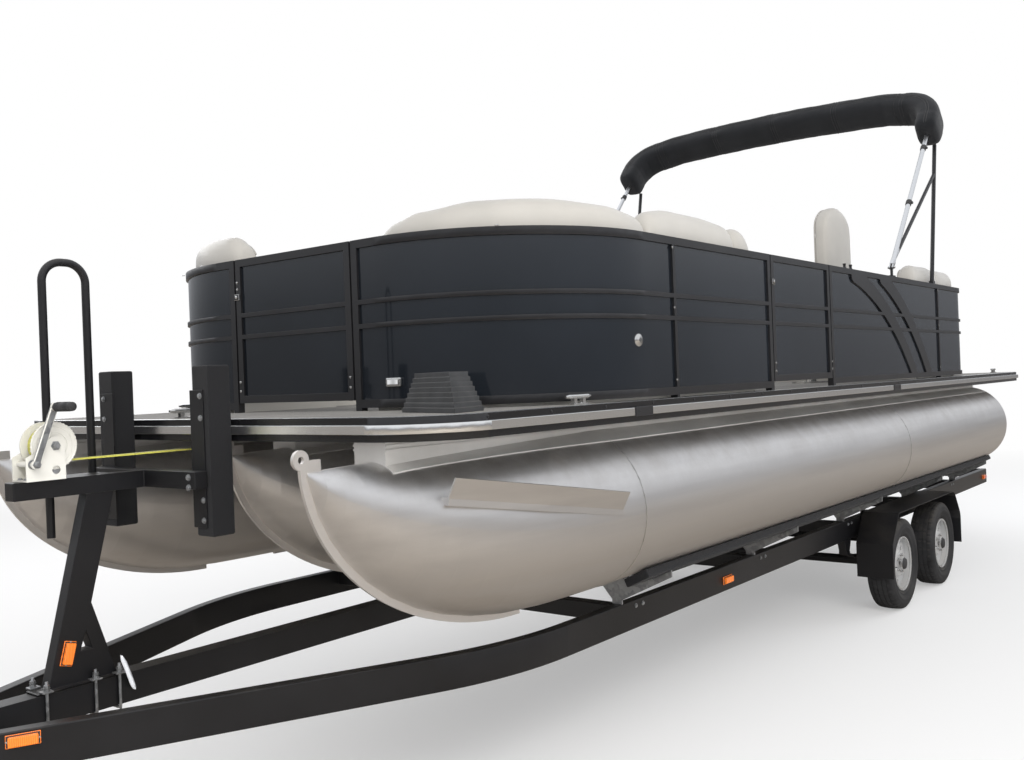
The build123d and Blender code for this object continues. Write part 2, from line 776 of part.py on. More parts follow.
# Bimini: its two mounts on the fence, the folding arms and the boot over the arch
bimini_y = fence_half - fence_tube / 2
pivot = Vector(bow_x - bimini_pivot_x, 0, fence_top + bimini_pivot_rise)
lean = radians(bimini_lean)
up_arm = Vector(-cos(lean), 0, sin(lean))
eye_radius_bimini = 13.0
lug_half = 5.0
cheek = 7.0
with BuildPart() as bimini_mounts:
    for side in (1, -1):
        y = side * bimini_y
        block(pivot.X - 35, pivot.X + 35, y - 14, y + 14, fence_top, fence_top + 8)
        block(
            pivot.X - eye_radius_bimini,
            pivot.X + eye_radius_bimini,
            y - lug_half,
            y + lug_half,
            fence_top + 4,
            pivot.Z,
        )
        rod((pivot.X, y - lug_half, pivot.Z), (pivot.X, y + lug_half, pivot.Z), eye_radius_bimini)
        rod((pivot.X, y - 15, pivot.Z), (pivot.X, y + 15, pivot.Z), hinge_pin)
        foot_x = bow_x - strut_foot_x
        block(foot_x - 24, foot_x + 24, y - 14, y + 14, fence_top, fence_top + 20)


def arm_point(reach, drop=0.0):
    """A point along the arms from their pivot, with a drop aft of their line."""
    return pivot + up_arm * reach - Vector(sin(lean), 0, cos(lean)) * drop


strut_joint = Vector(bow_x - strut_joint_x, 0, deck_top + strut_joint_rise)
strut_foot = Vector(bow_x - strut_foot_x, 0, fence_top + 20 + seat_gap)
strut_head = Vector(bow_x - strut_top_x, 0, deck_top + strut_top_rise)
with BuildPart() as bimini_arms:
    for side in (1, -1):
        y = Vector(0, side * bimini_y, 0)
        rod(arm_point(30) + y, arm_point(boot_start - seat_gap) + y, bimini_arm_radius)
        rod(arm_point(60) + y, strut_joint + y, bimini_arm_radius - 3)
        rod(strut_foot + y, strut_head + y, bimini_arm_radius - 1)
        block(
            strut_foot.X - 30,
            strut_foot.X + 30,
            y.Y - 20,
            y.Y + 20,
            fence_top,
            fence_top + 20 + seat_gap,
            Mode.SUBTRACT,
        )
        for edge in (1, -1):
            inner, outer = lug_half + 0.5, lug_half + 0.5 + cheek
            c = y + Vector(0, edge * (inner + outer) / 2, 0)
            with Locations(Plane(origin=arm_point(16) + c, x_dir=(0, 1, 0), z_dir=up_arm).location):
                Box(cheek, 2 * eye_radius_bimini, 34)
            rod(
                pivot + y + Vector(0, edge * inner, 0),
                pivot + y + Vector(0, edge * outer, 0),
                eye_radius_bimini,
            )
        with Locations(Plane(origin=arm_point(40) + y, x_dir=(0, 1, 0), z_dir=up_arm).location):
            Box(2 * (lug_half + 0.5 + cheek), 2 * eye_radius_bimini + 4, 36)
        through = Vector(0, 20, 0)
        rod(pivot + y - through, pivot + y + through, hinge_pin + pin_clearance, Mode.SUBTRACT)

arch = Plane(origin=(pivot.X, 0, pivot.Z), x_dir=(0, 1, 0), z_dir=Vector(sin(lean), 0, cos(lean)))
arch_end = bimini_crest - bimini_crown
with BuildPart() as bimini_boot:
    with BuildLine(arch) as arch_line:
        down = Line((bimini_y, boot_start), (bimini_y, arch_end))
        over = ThreePointArc((bimini_y, arch_end), (0, bimini_crest), (-bimini_y, arch_end))
        up = Line((-bimini_y, arch_end), (-bimini_y, boot_start))
        ends = arch_line.vertices().filter_by(lambda v: abs(v.Z - (pivot.Z + arch_end * sin(lean))) < 1)
        fillet(ends, bimini_corner)
    with BuildSketch(Plane(origin=arch_line.wire() @ 0, z_dir=arch_line.wire() % 0, x_dir=(0, 1, 0))):
        boot_section = Rectangle(boot_width, boot_depth)
        chamfer(boot_section.vertices(), boot_bevel)
    sweep()

# Outboard
tilt = Vector(stern_x - pivot_back, 0, deck_top + pivot_rise)
steer_x = tilt.X - steer_back
transom_front = stern_x - transom_clear
transom_back = transom_front - transom_thickness
transom_top = deck_top + transom_rise
plate_z = transom_top - shaft_length
propeller_z = plate_z - propeller_drop
pod_top = deck_top - rub_height - 2
pod_half = 200.0
last_beam = beam_places[-1]
with BuildPart() as motor_pod:
    block(tail_x - 6, transom_front, -pod_half, pod_half, tube_z + 10, pod_top)
    block(transom_back, transom_front, -pod_half - 60, pod_half + 60, tube_z + 10, transom_top)
    block(last_beam - beam_width / 2, last_beam + beam_width / 2, -pod_half, pod_half, pod_top, beam_under)
with BuildPart() as motor_clamp:
    for side in (1, -1):
        with BuildSketch(side_at(side * (clamp_half - clamp_plate / 2) + clamp_plate / 2)):
            with BuildLine():
                Polyline(
                    (transom_back, transom_top - 260),
                    (transom_back, transom_top + 4),
                    (tilt.X + 24, tilt.Z + 10),
                    (tilt.X - 26, tilt.Z),
                    (tilt.X - 30, tilt.Z - 120),
                    (transom_back - 16, transom_top - 260),
                    close=True,
                )
            make_face()
            with Locations((tilt.X, tilt.Z)):
                Circle(30)
        extrude(amount=clamp_plate)
    rod(tilt - Vector(0, clamp_half + 10, 0), tilt + Vector(0, clamp_half + 10, 0), tilt_tube_radius)
swivel_half = clamp_half - clamp_plate - 6
with BuildPart() as motor_swivel:
    rod(tilt - Vector(0, swivel_half, 0), tilt + Vector(0, swivel_half, 0), tilt_tube_radius + 12)
    rod((steer_x, 0, tilt.Z - steer_bottom), (steer_x, 0, tilt.Z + steer_top), steer_radius + 22)
    block(steer_x, tilt.X, -60, 60, tilt.Z - 20, tilt.Z + 20)
    block(steer_x, tilt.X - 30, -12, 12, tilt.Z - 300, tilt.Z)
    rod(
        tilt - Vector(0, swivel_half + 5, 0),
        tilt + Vector(0, swivel_half + 5, 0),
        tilt_tube_radius + pin_clearance,
        Mode.SUBTRACT,
    )
    rod(
        (steer_x, 0, tilt.Z - steer_bottom - 5),
        (steer_x, 0, tilt.Z + steer_top + 5),
        steer_radius + pin_clearance,
        Mode.SUBTRACT,
    )
leg_front = steer_x - 62
leg_back = leg_front - 160
cowl_bottom = tilt.Z + cowl_foot
with BuildPart() as motor_leg:
    rod((steer_x, 0, tilt.Z - steer_bottom - 40), (steer_x, 0, cowl_bottom - 2), steer_radius)
    block(leg_back, leg_front, -50, 50, plate_z + 10, cowl_bottom)
    block(leg_front - 10, steer_x + 30, -45, 45, tilt.Z + steer_top + 6, cowl_bottom)
    block(leg_front - 10, steer_x + 30, -35, 35, tilt.Z - steer_bottom - 60, tilt.Z - steer_bottom - 6)
    block(leg_back - 150, leg_front + 20, -110, 110, plate_z, plate_z + 12)
    block(leg_back, leg_front - 20, -22, 22, propeller_z, plate_z)
    rod((leg_back - 60, 0, propeller_z), (leg_front + 60, 0, propeller_z), hub_radius)
    with BuildSketch(side_at(6)):
        with BuildLine():
            Polyline(
                (leg_front, propeller_z),
                (leg_back, propeller_z),
                (leg_back - 10, propeller_z - 160),
                (leg_back + 60, propeller_z - 168),
                close=True,
            )
        make_face()
    extrude(amount=12)
cowl_length = tilt.X - cowl_front - stern_x + motor_reach
cowl_middle = (tilt.X - cowl_front + stern_x - motor_reach) / 2
cowl_corner = 80.0
# the cowl's sections: share of its height, of its length and of its width
cowl_levels = (
    (0.0, 0.86, 0.76),
    (0.09, 0.985, 0.94),
    (0.4, 1.0, 1.0),
    (0.68, 0.965, 0.93),
    (0.86, 0.88, 0.82),
    (0.95, 0.78, 0.68),
    (1.0, 0.62, 0.5),
)
with BuildPart() as motor_cowl:
    for rise, length, width in cowl_levels:
        with BuildSketch(Plane.XY.offset(cowl_bottom + seat_gap + rise * cowl_height)):
            with Locations((cowl_middle, 0)):
                RectangleRounded(length * cowl_length, 2 * width * cowl_half, cowl_corner * width)
    loft(ruled=True)
hub_front = leg_back - 60 - seat_gap
hub_back = hub_front - 90
propeller_pitch = 380.0
# a blade's sections: distance from the shaft, chord, thickness
blade_stations = (
    (36.0, 64.0, 13.0),
    (80.0, 100.0, 10.0),
    (125.0, 120.0, 8.0),
    (160.0, 96.0, 6.0),
    (propeller_radius, 36.0, 4.0),
)
with BuildPart() as blade:
    for reach, chord, thickness in blade_stations:
        pitch = atan2(propeller_pitch, 2 * pi * reach)
        with BuildSketch(Plane(origin=(0, 0, reach), x_dir=(sin(pitch), cos(pitch), 0), z_dir=(0, 0, 1))):
            Ellipse(chord / 2, thickness / 2)
    loft()
with BuildPart() as propeller:
    rod((hub_back, 0, propeller_z), (hub_front, 0, propeller_z), hub_radius)
    with Locations(((hub_front + hub_back) / 2, 0, propeller_z)):
        for count in range(3):
            add(blade.part, rotation=(120 * count, 0, 0))

# Cleats on the deck
cleat_y = deck_width / 2 - cleat_edge
cleat_places = (
    (bow_x - 870.0, cleat_y),
    (bow_x - 870.0, -cleat_y),
    (bow_x - 100.0, -100.0),
    (stern_x + 150.0, cleat_y - 100),
    (stern_x + 150.0, 100 - cleat_y),
)
cleat_half = 80.0
cleat_rise = 30.0
cleat_bar = 9.0
with BuildPart() as cleats:
    for x, y in cleat_places:
        block(x - 48, x + 48, y - 15, y + 15, deck_top, deck_top + 5)
        for foot in (-28, 28):
            block(x + foot - 9, x + foot + 9, y - 8, y + 8, deck_top + 4, deck_top + cleat_rise)
        with BuildSketch(side_at(y)):
            with BuildLine():
                Polyline(
                    (x - cleat_half, deck_top + cleat_rise),
                    (x - cleat_half, deck_top + cleat_rise + cleat_bar / 2),
                    (x - cleat_half + 20, deck_top + cleat_rise + cleat_bar),
                    (x + cleat_half - 20, deck_top + cleat_rise + cleat_bar),
                    (x + cleat_half, deck_top + cleat_rise + cleat_bar / 2),
                    (x + cleat_half, deck_top + cleat_rise),
                    close=True,
                )
            make_face()
        revolve(axis=Axis((x, y, deck_top + cleat_rise), (1, 0, 0)))

# The stepped rubber chock on the deck's port bow corner: its foot's corners
chock_height = 134.0
chock_tiers = 8
chock_top_share = 0.66
chock_corners = [
    (bow_x - place, deck_width / 2 - inset)
    for place, inset in ((345.0, 452.0), (203.0, 80.0), (417.0, 139.0), (559.0, 511.0))
]
chock_x = sum(x for x, y in chock_corners) / len(chock_corners)
chock_y = sum(y for x, y in chock_corners) / len(chock_corners)
tier_height = chock_height / chock_tiers
with BuildPart() as corner_chock:
    for tier in range(chock_tiers):
        share = 1 - (1 - chock_top_share) * tier / (chock_tiers - 1)
        with BuildSketch(Plane.XY.offset(deck_top + tier * tier_height)):
            with BuildLine():
                Polyline(
                    [
                        (chock_x + share * (x - chock_x), chock_y + share * (y - chock_y))
                        for x, y in chock_corners
                    ],
                    close=True,
                )
            make_face()
        extrude(amount=tier_height)

# Trailer rails, cross members and tongue
tongue_side = tongue_width / 2
rail_low = rail_top - rail_height
bend_skew = (sqrt(1 + tongue_slope**2) - 1) / tongue_slope * rail_width / 2
with BuildPart() as trailer_rails:
    for side in (1, -1):
        inner = rail_centre - rail_width / 2
        outer = rail_centre + rail_width / 2
        edges = (
            (inner, bend_x - bend_skew, rail_bend_radius - rail_width / 2),
            (outer, bend_x + bend_skew, rail_bend_radius + rail_width / 2),
        )
        with BuildSketch(Plane.XY.offset(rail_low)) as plan:
            with BuildLine():
                Polyline(
                    (rail_rear_x, side * inner),
                    (bend_x - bend_skew, side * inner),
                    (bend_x - bend_skew + (inner - tongue_side) / tongue_slope, side * tongue_side),
                    (bend_x + bend_skew + (outer - tongue_side) / tongue_slope, side * tongue_side),
                    (bend_x + bend_skew, side * outer),
                    (rail_rear_x, side * outer),
                    close=True,
                )
            make_face()
            for y, x, radius in edges:
                fillet(plan.vertices().sort_by(lambda v: hypot(v.X - x, v.Y - side * y))[0], radius)
        extrude(amount=rail_height)
rail_inner = rail_centre - rail_width / 2


def cross_member(x):
    """One box section between the rails, in the part being built."""
    block(
        x - cross_width / 2,
        x + cross_width / 2,
        -rail_inner,
        rail_inner,
        rail_top - cross_height,
        rail_top,
    )


with BuildPart() as trailer_crossmembers:
    for place in cross_places:
        x = bow_x - place
        cross_member(x)
    x = rail_rear_x + cross_width / 2
    cross_member(x)
first_cross = bow_x - cross_places[0]
tongue_front = bow_x + tongue_reach - 200
with BuildPart() as trailer_tongue:
    block(
        first_cross + cross_width / 2,
        tongue_front,
        -tongue_side,
        tongue_side,
        tongue_top - tongue_height,
        tongue_top,
    )

coupler_nose = bow_x + tongue_reach
coupler_top = tongue_top + 6
coupler_half = 52.0
socket_depth = 44.0
socket_x = coupler_nose - coupler_half
with trailer_tongue:
    block(tongue_front, socket_x, -tongue_side, tongue_side, coupler_top - coupler_depth, coupler_top)
    with Locations((socket_x, 0, coupler_top - coupler_depth / 2)):
        Cylinder(coupler_half, coupler_depth)
        with Locations((0, 0, (socket_depth - coupler_depth) / 2)):
            Cylinder(coupler_socket, socket_depth, mode=Mode.SUBTRACT)

# Jack: the outer tube on the tongue, and the leg that slides in it
jack_place = bow_x + jack_x
jack_low = 350.0
jack_high = 930.0
with BuildPart() as jack_tube:
    rod((jack_place, jack_side, jack_low), (jack_place, jack_side, jack_high), jack_tube_radius)
    rod(
        (jack_place, jack_side, jack_low - 1),
        (jack_place, jack_side, jack_high - 20),
        jack_leg_radius + jack_clearance,
        Mode.SUBTRACT,
    )
    block(
        jack_place - 40,
        jack_place + 40,
        tongue_side,
        jack_side - jack_leg_radius - 4,
        tongue_top - tongue_height + 10,
        tongue_top - 10,
    )
    crank_z = jack_high - 40
    crank_y = jack_side + 90
    crank_x = jack_place - 130
    rod((jack_place, jack_side + jack_tube_radius - 4, crank_z), (jack_place, crank_y, crank_z), 8)
    rod((jack_place, crank_y, crank_z), (crank_x, crank_y, crank_z), 8)
    rod((crank_x, crank_y, crank_z), (crank_x, crank_y + 100, crank_z), 12)
with BuildPart() as jack_leg:
    block(jack_place - 75, jack_place + 75, jack_side - 75, jack_side + 75, 0, 10)
    rod((jack_place, jack_side, 8), (jack_place, jack_side, jack_high - 40 - jack_travel), jack_leg_radius)

# Axles on their leaf springs, hung from the rails with a rocker between each pair
wheel_y = wheel_track / 2
axle_end = wheel_y - wheel_width / 2 - 20
stub_radius = 16.0
spring_half = 380.0
spring_rise = 60.0              # a spring's eyes above its middle
spring_side = 25.0
leaf_thickness = 9.0
leaf_reaches = (1.0, 0.74, 0.5)
spring_radius = (spring_half**2 + spring_rise**2) / (2 * spring_rise)
leaf_low = wheel_radius + axle_radius
eye_level = leaf_low + spring_rise + leaf_thickness * (len(leaf_reaches) - 0.5)
front_x, rear_x = (bow_x - place for place in axle_places)
rocker_x = (front_x + rear_x) / 2
with BuildPart() as axles:
    for x in (front_x, rear_x):
        rod((x, -axle_end, wheel_radius), (x, axle_end, wheel_radius), axle_radius)
        rod((x, -wheel_y - 40, wheel_radius), (x, wheel_y + 40, wheel_radius), stub_radius)
    for side in (1, -1):
        y = side * rail_centre
        for x in (front_x, rear_x):
            block(x - 50, x + 50, y - spring_side, y + spring_side, leaf_low - axle_radius / 2, leaf_low + 2)
            for count, reach in enumerate(leaf_reaches):
                inside = spring_radius + count * leaf_thickness
                with BuildSketch(side_at(y + spring_side)):
                    with Locations((x, leaf_low + leaf_thickness * len(leaf_reaches) + spring_radius)):
                        Circle(inside + leaf_thickness)
                        Circle(inside, mode=Mode.SUBTRACT)
                    with Locations((x, leaf_low + spring_rise)):
                        Rectangle(2 * reach * spring_half, 3 * spring_rise, mode=Mode.INTERSECT)
                extrude(amount=2 * spring_side)
            for end in (1, -1):
                rod(
                    (x + end * spring_half, y - spring_side - 6, eye_level),
                    (x + end * spring_half, y + spring_side + 6, eye_level),
                    17,
                )
        hangers = (front_x + spring_half, rocker_x, rear_x - spring_half)
        for x in hangers:
            with BuildSketch(side_at(y + spring_side)):
                with BuildLine():
                    Polyline(
                        (x - 60, rail_low),
                        (x + 60, rail_low),
                        (x + 18, eye_level - 12),
                        (x - 18, eye_level - 12),
                        close=True,
                    )
                make_face()
            extrude(amount=2 * spring_side)
        with BuildSketch(side_at(y + spring_side)):
            with BuildLine():
                Polyline(
                    (front_x - spring_half + 24, eye_level - 18),
                    (front_x - spring_half + 24, eye_level + 16),
                    (rocker_x, eye_level + 44),
                    (rear_x + spring_half - 24, eye_level + 16),
                    (rear_x + spring_half - 24, eye_level - 18),
                    (rocker_x, eye_level - 2),
                    close=True,
                )
            make_face()
        extrude(amount=2 * spring_side)

# a tyre's half section: out from its middle, and radius
tyre_half = wheel_width / 2
tyre_section = (
    (tyre_half - 19, rim_radius),
    (tyre_half - 4, rim_radius + 26),
    (tyre_half, rim_radius + 62),
    (tyre_half - 6, wheel_radius - 27),
    (tyre_half - 20, wheel_radius - 6),
    (tyre_half - 36, wheel_radius),
)
# the rim's sections, the outer side positive
rim_edge = rim_radius - seat_gap
rim_half = tyre_half - 19
rim_inner = rim_edge - rim_wall
stub_hole = stub_radius + pin_clearance
hub_outer = 40.0
barrel_section = (
    (-rim_half, rim_inner),
    (-rim_half, rim_edge),
    (rim_half, rim_edge),
    (rim_half, rim_inner),
)
dish_section = (
    (16.0, rim_inner + 1),
    (26.0, rim_inner + 1),
    (28.0, 98.0),
    (46.0, 82.0),
    (46.0, stub_hole),
    (37.0, stub_hole),
    (37.0, 78.0),
    (19.0, 94.0),
)
hub_section = ((-75.0, stub_hole), (-75.0, hub_outer + 8), (38.0, hub_outer + 8), (38.0, stub_hole))
hand_hole = 14.0
hand_hole_reach = 120.0
hand_hole_count = 8
wheel_pieces = {}
corners = (("front", axle_places[0]), ("rear", axle_places[1]))
for end, place in corners:
    for hand, side in (("port", 1), ("starboard", -1)):
        x = bow_x - place
        y = side * wheel_y
        centre = (x, y, wheel_radius)
        across = Axis(centre, (0, 1, 0))
        half_plane = Plane(origin=centre, x_dir=(0, side, 0), z_dir=(-side, 0, 0))
        with BuildPart() as tyre:
            with BuildSketch(half_plane):
                with BuildLine():
                    Polyline(
                        [(-out, reach) for out, reach in tyre_section]
                        + [(out, reach) for out, reach in reversed(tyre_section)],
                        close=True,
                    )
                make_face()
            revolve(axis=across)
        with BuildPart() as rim:
            with BuildSketch(half_plane):
                for section in (barrel_section, dish_section, hub_section):
                    with BuildLine():
                        Polyline(section, close=True)
                    make_face()
            revolve(axis=across)
            with Locations(Plane(origin=centre, x_dir=(1, 0, 0), z_dir=(0, side, 0)).location):
                with PolarLocations(hand_hole_reach, hand_hole_count):
                    Cylinder(hand_hole, 2 * wheel_width, mode=Mode.SUBTRACT)
        wheel_pieces["tyre_" + end + "_" + hand] = tyre
        wheel_pieces["rim_" + end + "_" + hand] = rim

# Bunks under the floats and the brackets that hold them
tilt_bunk = radians(bunk_angle)
bunk_reach = tube_radius + seat_gap + bunk_thickness / 2
bunk_half = bunk_width / 2
bunk_x1 = bow_x - bunk_back
# centre line and front end of each pair of boards
tubes = (
    (tube_spacing, bow_x - bunk_front),
    (0.0, centre_tip - nose_length - 30),
    (-tube_spacing, bow_x - bunk_front),
)
with BuildPart() as bunks:
    for centre, front in tubes:
        for side in (1, -1):
            spot = Vector(
                (front + bunk_x1) / 2,
                centre + side * bunk_reach * sin(tilt_bunk),
                tube_z - bunk_reach * cos(tilt_bunk),
            )
            with Locations(Location(spot, (side * bunk_angle, 0, 0))):
                Box(front - bunk_x1, bunk_width, bunk_thickness)


def bunk_corner(side, along):
    """Where a bunk's lower face is, measured along the board from its middle."""
    reach = tube_radius + 2 * seat_gap + bunk_thickness
    y = side * (reach * sin(tilt_bunk) + along * cos(tilt_bunk))
    z = tube_z - reach * cos(tilt_bunk) + along * sin(tilt_bunk)
    return y, z


with BuildPart() as bunk_brackets:
    for place, (centre, front) in [(place, tube) for place in cross_places for tube in tubes]:
        if bow_x - place < front - 40:
            rail_at = 0.0 if centre == 0 else (rail_centre if centre > 0 else -rail_centre)
            foot = rail_at - centre
            foot_half = rail_width / 2 if centre else 60.0
            left_out, left_in = bunk_corner(-1, bunk_half - 8), bunk_corner(-1, -bunk_half)
            right_out, right_in = bunk_corner(1, bunk_half - 8), bunk_corner(1, -bunk_half)
            x = bow_x - place
            across = Plane(origin=(x - bracket_plate / 2, centre, 0), x_dir=(0, 1, 0), z_dir=(1, 0, 0))
            with BuildSketch(across):
                with BuildLine():
                    Polyline(
                        (foot - foot_half, rail_top),
                        (foot - foot_half, rail_top + 20),
                        (left_out[0], left_out[1] - 30),
                        left_out,
                        left_in,
                        (0, left_in[1] - 14),
                        right_in,
                        right_out,
                        (right_out[0], right_out[1] - 30),
                        (foot + foot_half, rail_top + 20),
                        (foot + foot_half, rail_top),
                        close=True,
                    )
                make_face()
            extrude(amount=bracket_plate)

# Fenders over each pair of wheels, each on three brackets from its rail
fender_top = wheel_radius * 2 + fender_gap
fender_front = bow_x - axle_places[0] + wheel_radius + 50
fender_rear = bow_x - axle_places[1] - wheel_radius - 50
fender_skirt = 260.0
fender_shoulder = 480.0
fender_slope = 150.0
with BuildPart() as fenders:
    for side in (1, -1):
        with BuildSketch(side_at(side * wheel_y + fender_width / 2)):
            with BuildLine() as hoop_line:
                Polyline(
                    (fender_rear, fender_skirt),
                    (fender_rear, fender_shoulder),
                    (fender_rear + fender_slope, fender_top),
                    (fender_front - fender_slope, fender_top),
                    (fender_front, fender_shoulder),
                    (fender_front, fender_skirt),
                )
                corners = hoop_line.vertices().sort_by(Axis.Z)[2:]
                fillet(corners, 110)
                offset(amount=-fender_sheet, side=Side.RIGHT)
            make_face()
        extrude(amount=fender_width)
        post_y = side * (rail_centre + rail_width / 2)
        fender_y = side * (wheel_y - fender_width / 2 + 30)
        reach = fender_slope + 90
        for x in (fender_front - reach, (fender_front + fender_rear) / 2, fender_rear + reach):
            block(x - 20, x + 20, post_y, fender_y, fender_top - 40, fender_top - fender_sheet / 2)
            block(x - 20, x + 20, post_y, post_y + side * 8, rail_top - 60, fender_top - 20)

# Winch stand, its winch and strap, and the two bow stops
foot_x = bow_x + post_foot
head_x = bow_x + post_head
board_back = bow_x + rub_proud + seat_gap
board_front = board_back + guide_board
cross_back = board_front + guide_angle
cross_front = cross_back + 2 * cross_bar_half
cross_half = guide_half + arm_half
with BuildPart() as winch_stand:
    with BuildSketch(side_at(post_width / 2)):
        with BuildLine():
            Polyline(
                (foot_x, tongue_top),
                (head_x, arm_under),
                (head_x - post_depth, arm_under),
                (foot_x - neck_back, tongue_top + neck_rise),
                (foot_x - brace_back, tongue_top),
                close=True,
            )
        make_face()
        with BuildLine():
            Polyline(*[(foot_x - back, tongue_top + rise) for back, rise in window_places], close=True)
        make_face(mode=Mode.SUBTRACT)
    extrude(amount=post_width)
    plate_half = post_width / 2 + 2 * foot_plate
    block(
        foot_x - brace_back - plate_half,
        foot_x + plate_half,
        -plate_half,
        plate_half,
        tongue_top,
        tongue_top + foot_plate,
    )
    block(cross_back, bow_x + arm_reach, -arm_half, arm_half, arm_under, arm_top)
    block(cross_back, cross_front, -cross_half, cross_half, arm_under, arm_top)
with BuildPart() as bow_stops:
    for side in (1, -1):
        y = side * guide_half
        block(
            board_back,
            board_front,
            y - guide_width / 2,
            y + guide_width / 2,
            deck_top - guide_below,
            deck_top + guide_above,
        )
with BuildPart() as bow_stop_brackets:
    for side in (1, -1):
        inboard = side * (guide_half - guide_angle_inboard)
        outboard = side * (guide_half + guide_angle_outboard)
        block(
            board_front,
            cross_back,
            min(inboard, outboard),
            max(inboard, outboard),
            deck_top - guide_angle_foot,
            deck_top + guide_angle_top,
        )

# Hand rail beside the winch, its legs clamped to the arm's side
ladder_y = -110.0
ladder_front = 450.0
ladder_back = 292.0
ladder_rise = 570.0
ladder_bend = 70.0
ladder_radius = 14.0
ladder_sleeve = 4.0
ladder_foot = 212.0             # how far the legs hang under the arm's top
with BuildPart() as boarding_rail:
    ladder_top = deck_top + ladder_rise
    front_leg = bow_x + ladder_front
    back_leg = bow_x + ladder_back
    with BuildLine(side_at(ladder_y)) as hoop:
        Polyline(
            (front_leg, arm_top - ladder_foot),
            (front_leg, ladder_top),
            (back_leg, ladder_top),
            (back_leg, arm_top - ladder_foot),
        )
        fillet(hoop.vertices().sort_by(Axis.Z)[-2:], ladder_bend)
    with BuildSketch(Plane(origin=hoop.wire() @ 0, z_dir=hoop.wire() % 0)):
        Circle(ladder_radius)
    sweep()
    block(
        back_leg - ladder_radius,
        front_leg + ladder_radius,
        ladder_y,
        -arm_half,
        arm_top - arm_half,
        arm_top,
    )
    for leg in (front_leg, back_leg):
        rod((leg, ladder_y, arm_under), (leg, ladder_y, arm_top), ladder_radius + ladder_sleeve)
drum_z = arm_top + drum_rise
drum_place = bow_x + drum_x
cheek_half = 46.0               # the winch's two side plates from the middle
cheek_plate = 4.0
drum_core = 50.0
drum_hub = 32.0
flange_place = 34.0
flange_thickness = 5.0
shaft_radius = 10.0
pinion_ahead = 78.0             # the crank's shaft, ahead of the drum's and below it
pinion_drop = 56.0
pinion_hub = 22.0
pinion_radius = 15.0
crank_reach = (-68.0, 184.0)    # the crank's grip from its shaft, along and up
crank_place = 74.0
crank_thickness = 10.0
crank_width = 22.0
grip_radius = 14.0
grip_length = 110.0
cheek_hole = 14.0
pinion_place = drum_place + pinion_ahead
pinion_z = drum_z - pinion_drop
winch_base_back = drum_place - drum_hub
with BuildPart() as winch:
    for side in (1, -1):
        with BuildSketch(side_at(side * cheek_half + cheek_plate / 2)):
            with BuildLine():
                Polyline(
                    (winch_base_back, arm_top),
                    (pinion_place + pinion_hub, arm_top),
                    (pinion_place + pinion_hub, pinion_z + pinion_hub),
                    (drum_place + drum_hub, drum_z),
                    (winch_base_back, drum_z),
                    close=True,
                )
            make_face()
            with Locations((drum_place, drum_z)):
                Circle(drum_hub)
            with Locations((drum_place, arm_top + drum_hub)):
                Circle(cheek_hole, mode=Mode.SUBTRACT)
        extrude(amount=cheek_plate)
        flange_inner = side * flange_place
        rod(
            (drum_place, flange_inner, drum_z),
            (drum_place, flange_inner + side * flange_thickness, drum_z),
            drum_radius,
        )
    block(
        winch_base_back,
        pinion_place + pinion_hub,
        -cheek_half - cheek_plate / 2,
        cheek_half + cheek_plate / 2,
        arm_top,
        arm_top + flange_thickness,
    )
    rod((drum_place, -flange_place, drum_z), (drum_place, flange_place, drum_z), drum_core)
    shaft_end = cheek_half + shaft_radius
    rod((drum_place, -shaft_end, drum_z), (drum_place, shaft_end, drum_z), shaft_radius)
    rod((pinion_place, -shaft_end, pinion_z), (pinion_place, crank_place, pinion_z), shaft_radius)
    rod((pinion_place, flange_place, pinion_z), (pinion_place, cheek_half, pinion_z), pinion_radius)
    with BuildSketch(side_at(crank_place)):
        with Locations((pinion_place, pinion_z)):
            Circle(crank_width / 2 + cheek_plate)
        with Locations((pinion_place + crank_reach[0], pinion_z + crank_reach[1])):
            Circle(crank_width / 2)
        with Locations(
            Location(
                (pinion_place + crank_reach[0] / 2, pinion_z + crank_reach[1] / 2),
                (0, 0, degrees(atan2(crank_reach[1], crank_reach[0]))),
            )
        ):
            Rectangle(hypot(*crank_reach), crank_width)
    extrude(amount=crank_thickness)
    grip = (pinion_place + crank_reach[0], crank_place - crank_thickness / 2, pinion_z + crank_reach[1])
    rod(grip, (grip[0], crank_place + grip_length, grip[2]), grip_radius)

eye_z = stem_z + eye_rise
strap_width = 40.0
strap_thickness = 5.0
with BuildPart() as winch_strap:
    drum_exit = Vector(drum_place, 0, drum_z - drum_core - strap_thickness / 2 - seat_gap)
    hook = Vector(centre_tip + eye_ahead + eye_radius + seat_gap, 0, eye_z)
    away = (drum_exit - hook).normalized()
    with BuildSketch(Plane(origin=hook, x_dir=(0, 1, 0), z_dir=away)):
        Rectangle(strap_width, strap_thickness)
    extrude(amount=(drum_exit - hook).length)

